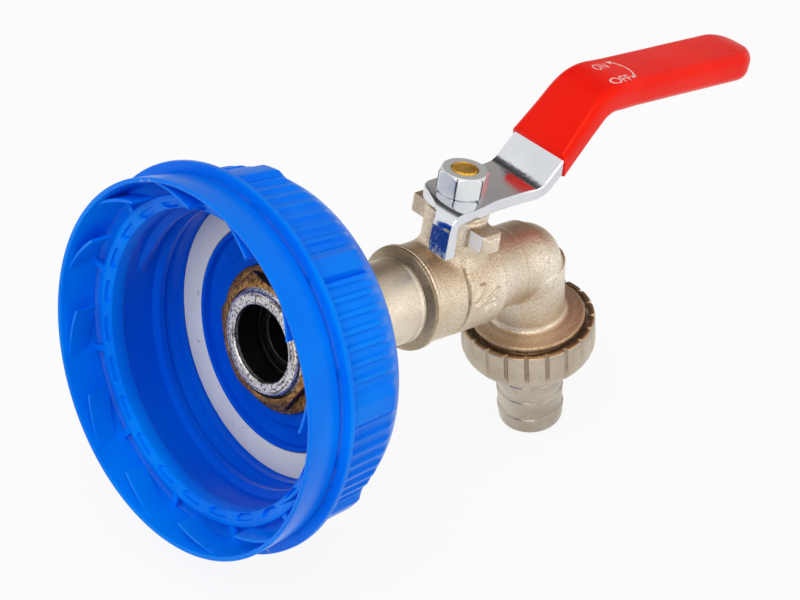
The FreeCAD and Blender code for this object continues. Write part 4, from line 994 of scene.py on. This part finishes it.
# Grip: the strip's far end is dipped in red vinyl, which pulls in to rounded edges and a soft tip. The
# words and the two-headed arrow are printed on it in white and rubbed thin.
material, nodes, place = new_finish("dipped red vinyl")
RED_VINYL = material
cloud = nodes.noise(place, 45, 3)
dull = nodes.noise(place, 130, 4)
colour = nodes.blend(cloud.share(0.3, 0.7), tone(255, 22, 8), tone(244, 14, 4))
specks = nodes.noise(place, 380, 2).share(0.74, 0.78)
colour = nodes.blend(specks * 0.45, colour, tone(120, 0, 0))
close_finish(nodes, {
    "Base Color": colour,
    "Roughness": dull.share(0.4, 0.7) * 0.12 + 0.3,
    "Specular IOR Level": 0.35,
    "Specular Tint": tone(255, 170, 120),
    "Normal": nodes.bump(nodes.noise(place, 160, 3), 0.12, 0.25 * MM),
})
GRIP_HALF_THICK = 3.85
MOUTH = run_at(LEVER_CORNERS[2][0] + 8.1 * math.cos(SLOPE))
TIP = run_at(94.6)
NOSE = 7.6


def dip(run):
    """The sleeve's half width, half thickness and edge rounding at a distance along the lever."""
    up = run - MOUTH
    nose = max(0.0, (run - TIP + NOSE) / NOSE)
    closing = math.sqrt(max(0.0, 1 - nose * nose))
    half = float(np.interp(up, [0, 17, 30], [8.95, 8.05, 7.8])) * max(closing, 0.02)
    thick = float(np.interp(up, [0, 0.7, 10, 24], [2.6, 2.95, 3.1, GRIP_HALF_THICK]))
    thick *= max(closing, 0.05)**0.4
    edge = float(np.interp(up, [0, 0.7, 16, 30], [1.0, 1.6, 2.0, 2.7]))
    return half, thick, min(edge, half * 0.95, thick * 0.95)


runs = [MOUTH, MOUTH + 0.2, MOUTH + 0.45, MOUTH + 0.8, *np.arange(MOUTH + 1.5, TIP - NOSE, 0.9)]
runs += [TIP - NOSE + NOSE * math.sin(a) for a in np.linspace(0, math.pi / 2, 22)]
rows = []
for run in runs:
    half, thick, edge = dip(run)
    # The mouth is cut on a slant: its top edge stands further up the slope than its underside.
    slant = 1.6 * max(0.0, 1 - (run - MOUTH) / 9)
    row = []
    for quarter, (side, up) in enumerate(((1, 1), (-1, 1), (-1, -1), (1, -1))):
        for angle in np.radians(np.linspace(90 * quarter, 90 * quarter + 90, 8)):
            across = side * (half - edge) + edge * math.cos(angle)
            height = up * (thick - edge) + edge * math.sin(angle)
            row.append(on_lever(run + slant * height / thick, across, height))
    rows.append(row)
sleeve = built("grip_sleeve_dip", [skin(rows)], RED_VINYL, 50)
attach(sleeve, "handle")
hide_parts("grip_sleeve")

material, nodes, place = new_finish("rubbed white print")
WHITE_PRINT = material
rub = nodes.noise(place, 1100, 3)
close_finish(nodes, {
    "Base Color": nodes.blend(rub.share(0.4, 0.7), tone(255, 214, 208), tone(244, 120, 108)),
    "Roughness": rub * 0.2 + 0.4,
})
PRINT_HEIGHT = GRIP_HALF_THICK + 0.02
PRINT_RUN = run_at(44.3)


def word(text, width, height, side):
    """A word of plain capitals, pressed to a size in millimetres and moved to its place across the grip."""
    curve = bpy.data.curves.new(text, "FONT")
    curve.body = text
    curve.size = 4.0
    curve.offset = 0.03
    curve.resolution_u = 3
    holder = bpy.data.objects.new(text, curve)
    letters = bpy.data.meshes.new_from_object(holder)
    bpy.data.objects.remove(holder)
    flat = bmesh.new()
    flat.from_mesh(letters)
    bpy.data.meshes.remove(letters)
    bmesh.ops.remove_doubles(flat, verts=flat.verts, dist=1e-3)
    low = [min(vert.co[i] for vert in flat.verts) for i in (0, 1)]
    high = [max(vert.co[i] for vert in flat.verts) for i in (0, 1)]
    for vert in flat.verts:
        share = [(vert.co[i] - low[i]) / (high[i] - low[i]) - 0.5 for i in (0, 1)]
        vert.co = Vector((share[0] * width, share[1] * height + side, 0))
    return flat


def print_on_grip(name, flat):
    """Lays flat print, in millimetres about the words' middle, on the grip's top, a hair proud of it."""
    for vert in flat.verts:
        vert.co = on_lever(PRINT_RUN + vert.co.x, vert.co.y, PRINT_HEIGHT) * MM
    item = ended(name, flat, WHITE_PRINT)
    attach(item, "handle")


print_on_grip("print_on", word("ON", 4.3, 3.0, 2.53))
print_on_grip("print_off", word("OFF", 6.5, 3.0, -4.8))
arrow = bmesh.new()
ARC_MIDDLE = (0.6, -0.85)
ARC_RAD = 5.55


def on_arc(radius, degrees):
    """A new corner of the arrow, at a distance and an angle from the arc's middle."""
    angle = math.radians(degrees)
    across = ARC_MIDDLE[0] + radius * math.cos(angle)
    return arrow.verts.new((across, ARC_MIDDLE[1] + radius * math.sin(angle), 0))


stroke = [(on_arc(ARC_RAD - 0.25, turn), on_arc(ARC_RAD + 0.25, turn)) for turn in np.linspace(48, -48, 25)]
for (low, high), (next_low, next_high) in zip(stroke, stroke[1:]):
    arrow.faces.new((low, high, next_high, next_low))
for end, tip in ((46, 63), (-42, -59)):
    arrow.faces.new([on_arc(ARC_RAD - 0.85, end), on_arc(ARC_RAD + 0.85, end), on_arc(ARC_RAD - 0.1, tip)])
for face in arrow.faces:
    face.normal_update()
    if face.normal.z < 0:
        face.normal_flip()
print_on_grip("print_arrow", arrow)

# Handle nut: a chromed steel hexagon nut with its corners bevelled at both ends. Screwed down on the
# stem's thread, it clamps the lever on the stem's two flats.
NUT_LOW = 25.5
NUT_HIGH = 31.4
material, nodes, place = new_finish("satin chrome nut")
across, side, up = nodes.parted(place)
angle = side.math("ARCTAN2", across - STEM_X * MM)
corner = abs(angle % (FULL_TURN / 6) - FULL_TURN / 12)
grain = nodes.noise(place, 700, 3)
# The sides are painted dark grey along their six corners: painted dark reflections on the corner edges.
on_side = (up + grain * 0.3 * MM).share((NUT_HIGH - 0.1) * MM, (NUT_HIGH - 0.3) * MM)
edge = (1 - corner.share(0.025, 0.05)) * on_side
close_finish(nodes, {
    "Base Color": nodes.blend(edge, tone(228, 230, 230), tone(88, 92, 94)),
    "Metallic": grain * 0.1 + 0.7,
    "Roughness": grain * 0.14 + 0.24,
    "Normal": nodes.bump(grain, 0.3, 0.1 * MM),
})
nut = built("handle_nut_hexagon", [
    placed(six_sided(11.0, NUT_LOW, NUT_HIGH, bevel=0.75, bore=3.42, per_side=14), STEM_AXIS),
], material, 25)
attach(nut, "handle")
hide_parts("handle_nut")

# Label: a strip of blue plastic film without print, stuck on the front of the stop tab. It is scuffed
# through at one corner and dulled along its lower edge.
material, nodes, place = new_finish("scuffed blue film")
up = nodes.parted(place)[2]
scratch = nodes.noise(nodes.add("ShaderNodeMapping", {}, {0: place, 3: (1500, 3800, 1300)}), 1.0, 6)
lower = 1 - up.share(14.8 * MM, 18.4 * MM)
bare = (scratch + lower * 0.2 + near(nodes, place, (62.6, 4.0, 14.2), 0.4, 3.0) * 0.2).share(0.64, 0.72)
close_finish(nodes, {
    "Base Color": nodes.blend(bare, tone(0, 60, 144), tone(156, 172, 190)),
    "Roughness": scratch * 0.25 + 0.28,
    "Specular IOR Level": 0.25,
    "Normal": nodes.bump(scratch, 0.3, 0.05 * MM),
})
film = eased([(-8.95, 1.5), (-3.45, 1.5), (-3.45, 1.68), (-8.95, 1.68)], 0.06)
runs = np.linspace(0.9, TAB_BEND - 0.1, 14)
rows = [[on_lever(run, *corner) for corner in film] for run in runs]
label = built("stop_tab_film", [skin(rows)], material, 30)
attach(label, "handle")
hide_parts("stop_tab_label")

# Hose tail: turned brass, nickel plated, held in the union nut by its flange. A plain length, a land for
# the clip and two barbs with sharp crests hold the hose.
material, nodes, place = new_finish("turned nickel tail")
grain = nodes.noise(place, 1400, 4)
depth = down_outlet(nodes, place)
rings = nodes.add("ShaderNodeTexNoise", {"noise_dimensions": "1D"}, {"W": depth, "Scale": 3800, "Detail": 2})
colour = nodes.blend(nodes.noise(place, 55, 3).share(0.3, 0.7), tone(206, 197, 184), tone(158, 147, 132))
close_finish(nodes, {
    "Base Color": nodes.blend(grain.share(0.52, 0.75) * 0.45, colour, tone(158, 147, 132)),
    "Metallic": 1.0,
    "Roughness": grain.share(0.3, 0.7) * 0.16 + 0.24,
    "Normal": nodes.bump(rings, 0.35, 0.05 * MM, nodes.bump(grain, 0.3, 0.1 * MM)),
})
tail_outline = eased([
    (25.35, 5.6), (25.35, 12.6), (26.95, 12.6), (26.95, 8.3, 0.3), (36.3, 8.3), (36.5, 8.55, 0.12),
    (39.0, 8.5, 0.3), (41.4, 8.1, 0.3), (41.6, 8.5, 0.15), (42.3, 8.45, 0.3), (47.1, 8.05, 0.3),
    (47.3, 8.5, 0.15), (48.2, 8.4, 0.3), (51.3, 8.1, 0.5), (52.0, 7.5, 0.4), (52.0, 5.9), (51.6, 5.6),
], 0.2)
tail = built("hose_tail_turned", [placed(lathe(tail_outline, 180), OUTLET_AXIS)], material, 30)
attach(tail, "tail")
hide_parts("hose_tail")

# Union nut: cast and turned brass, nickel plated, with straight grip flutes. The plating has worn brown
# on its upper rim, and its mouth stands off the body's collar by a dark gap.
material, nodes, place = new_finish("satin nickel union nut")
UNION_NICKEL = material
grain = nodes.noise(place, 1300, 3)
cloud = nodes.noise(place, 60, 3)
colour = nodes.blend(cloud.share(0.3, 0.7), tone(200, 187, 170), tone(172, 158, 140))
colour = nodes.blend(grain.share(0.5, 0.7) * 0.3, colour, tone(150, 134, 114))
depth = down_outlet(nodes, place) + grain * 0.4 * MM
worn = (1 - depth.share(19.15 * MM, 19.45 * MM)) * 0.75
close_finish(nodes, {
    "Base Color": nodes.blend(worn, colour, tone(166, 126, 80)),
    "Metallic": 1.0,
    "Roughness": grain * 0.16 + 0.3,
    "Normal": nodes.bump(grain, 0.3, 0.12 * MM),
})
union_outline = eased([
    (18.9, 14.9, 0.15), (18.9, 15.9, 0.6), (19.6, 16.1, 0.3), (27.6, 16.1, 1.2), (29.6, 15.3, 1.2),
    (31.2, 12.9, 1.0), (31.8, 10.4, 0.5), (31.8, 8.65, 0.3), (27.0, 8.65), (27.0, 13.3), (20.7, 13.3),
    (20.7, 14.9),
], 0.2)
union_rows = []
for start, end in zip(union_outline, np.roll(union_outline, -1, 0)):
    cuts = max(1, int(abs(end[0] - start[0]) / 0.5)) if start[1] > 15.2 and end[1] > 14 else 1
    union_rows += [start + (end - start) * cut / cuts for cut in range(cuts)]
union_mesh = grown(built("union_blank", [lathe(union_rows, 720)], UNION_NICKEL), RIBBING, {
    "Rib count": 20, "Rib height": 0.8 * MM, "Rib width": 4.3 * MM, "Rib angle": 0.0, "Lug count": 1,
    "Lug height": 0.0, "Lug width": MM, "Lug ramp": MM, "Lug angle": 0.0, "Flank": 0.36 * MM,
    "Start": 18.0 * MM, "Fade": 4.5 * MM, "End": 30.2 * MM, "Least radius": 14.0 * MM,
}, UNION_NICKEL)
third = np.cross(DOWN, (0, 1, 0))
turned = Matrix(np.array([DOWN, (0, 1, 0), third]).T.tolist()).to_4x4()
union_mesh.transform(Matrix.Translation(Vector(OUTLET_AXIS[0]) * MM) @ turned)
union = joined("union_nut_fluted", [union_mesh], UNION_NICKEL, 30)
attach(union, "union")
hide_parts("union_nut")

# Camera and studio: the photograph's view, a long lens, a pale floor and soft light from the left and
# above. Metal sees a white room with two dark panels, so that its edges and bends read.
camera_data = bpy.data.cameras.new("camera")
camera_data.lens = 135
camera_data.sensor_width = 36
camera_data.clip_end = 20
camera = bpy.data.objects.new("camera", camera_data)
camera.matrix_world = Matrix((
    (0.7277, 0.2403, -0.6424, -0.39615),
    (-0.6688, 0.4564, -0.5869, -0.41644),
    (0.1522, 0.8567, 0.4928, 0.34920),
    (0, 0, 0, 1),
))
bpy.context.scene.collection.objects.link(camera)
bpy.context.scene.camera = camera


def soft_lamp(name, place, size, power, aim=(0.075, 0, 0)):
    """A square soft lamp that faces a point of the object."""
    lamp_data = bpy.data.lights.new(name, "AREA")
    lamp_data.size = size
    lamp_data.energy = power
    lamp = bpy.data.objects.new(name, lamp_data)
    lamp.location = place
    lamp.rotation_euler = (Vector(place) - Vector(aim)).to_track_quat("Z", "Y").to_euler()
    bpy.context.scene.collection.objects.link(lamp)


soft_lamp("key", (-0.75, -0.35, 0.85), 0.7, 6.0)
soft_lamp("fill", (0.35, -0.95, 0.35), 0.9, 1.8)

FLOOR_LEVEL = -0.0525
half = 4.0
floor_mesh = bpy.data.meshes.new("floor")
corners = [(-half, -half), (half, -half), (half, half), (-half, half)]
floor_mesh.from_pydata([(*corner, FLOOR_LEVEL) for corner in corners], [], [(0, 1, 2, 3)])
floor_finish = bpy.data.materials.new("pale floor")
floor_finish.use_nodes = True
floor_finish.node_tree.nodes.clear()
nodes = Nodes(floor_finish.node_tree)


def seen_directly(nodes):
    """1 for the rays of the camera, of reflections and through glass."""
    outputs = nodes.add("ShaderNodeLightPath").socket.node.outputs
    kinds = ("Camera", "Glossy", "Transmission")
    camera_ray, glossy, through = [Value(nodes, outputs[f"Is {kind} Ray"]) for kind in kinds]
    return camera_ray.math("MAXIMUM", glossy).math("MAXIMUM", through)


plain = nodes.add("ShaderNodeBsdfDiffuse", {}, {"Color": (0.86, 0.86, 0.86, 1)})
bright = nodes.add("ShaderNodeEmission", {}, {"Color": (1, 1, 1, 1), "Strength": 1.0})
both = nodes.add("ShaderNodeMixShader", {}, {0: seen_directly(nodes) * 0.9, 1: plain, 2: bright})
nodes.add("ShaderNodeOutputMaterial", {}, {"Surface": both})
floor_mesh.materials.append(floor_finish)
floor = bpy.data.objects.new("floor", floor_mesh)
bpy.context.scene.collection.objects.link(floor)

world = bpy.data.worlds.new("studio")
world.use_nodes = True
world.node_tree.nodes.clear()
bpy.context.scene.world = world
nodes = Nodes(world.node_tree)
way = nodes.add("ShaderNodeTexCoord", out="Generated")
path = nodes.add("ShaderNodeLightPath").socket.node
camera_ray = Value(nodes, path.outputs["Is Camera Ray"])
room = (1.0, 1.0, 1.0, 1.0)
for facing, depth, inner, outer, tint in (
    ((0.62, 0.60, 0.50), 0.75, 0.96, 0.72, (0.20, 0.165, 0.135, 1.0)),
    ((0.22, 0.60, 0.77), 0.9, 0.975, 0.86, (0.02, 0.02, 0.02, 1.0)),
):
    toward = nodes.vector_math("DOT_PRODUCT", way, facing)
    room = nodes.blend(toward.share(outer, inner) * depth, room, tint)
room = nodes.blend(camera_ray, room, (1.0, 1.0, 1.0, 1.0))
open_room = nodes.add("ShaderNodeBackground", {}, {"Color": room, "Strength": 1.0})
soft = nodes.add("ShaderNodeBackground", {}, {"Color": (1, 1, 1, 1), "Strength": 0.55})
whole = nodes.add("ShaderNodeMixShader", {}, {0: seen_directly(nodes), 1: soft, 2: open_room})
nodes.add("ShaderNodeOutputWorld", {}, {"Surface": whole})
bpy.context.scene.view_settings.view_transform = "Standard"
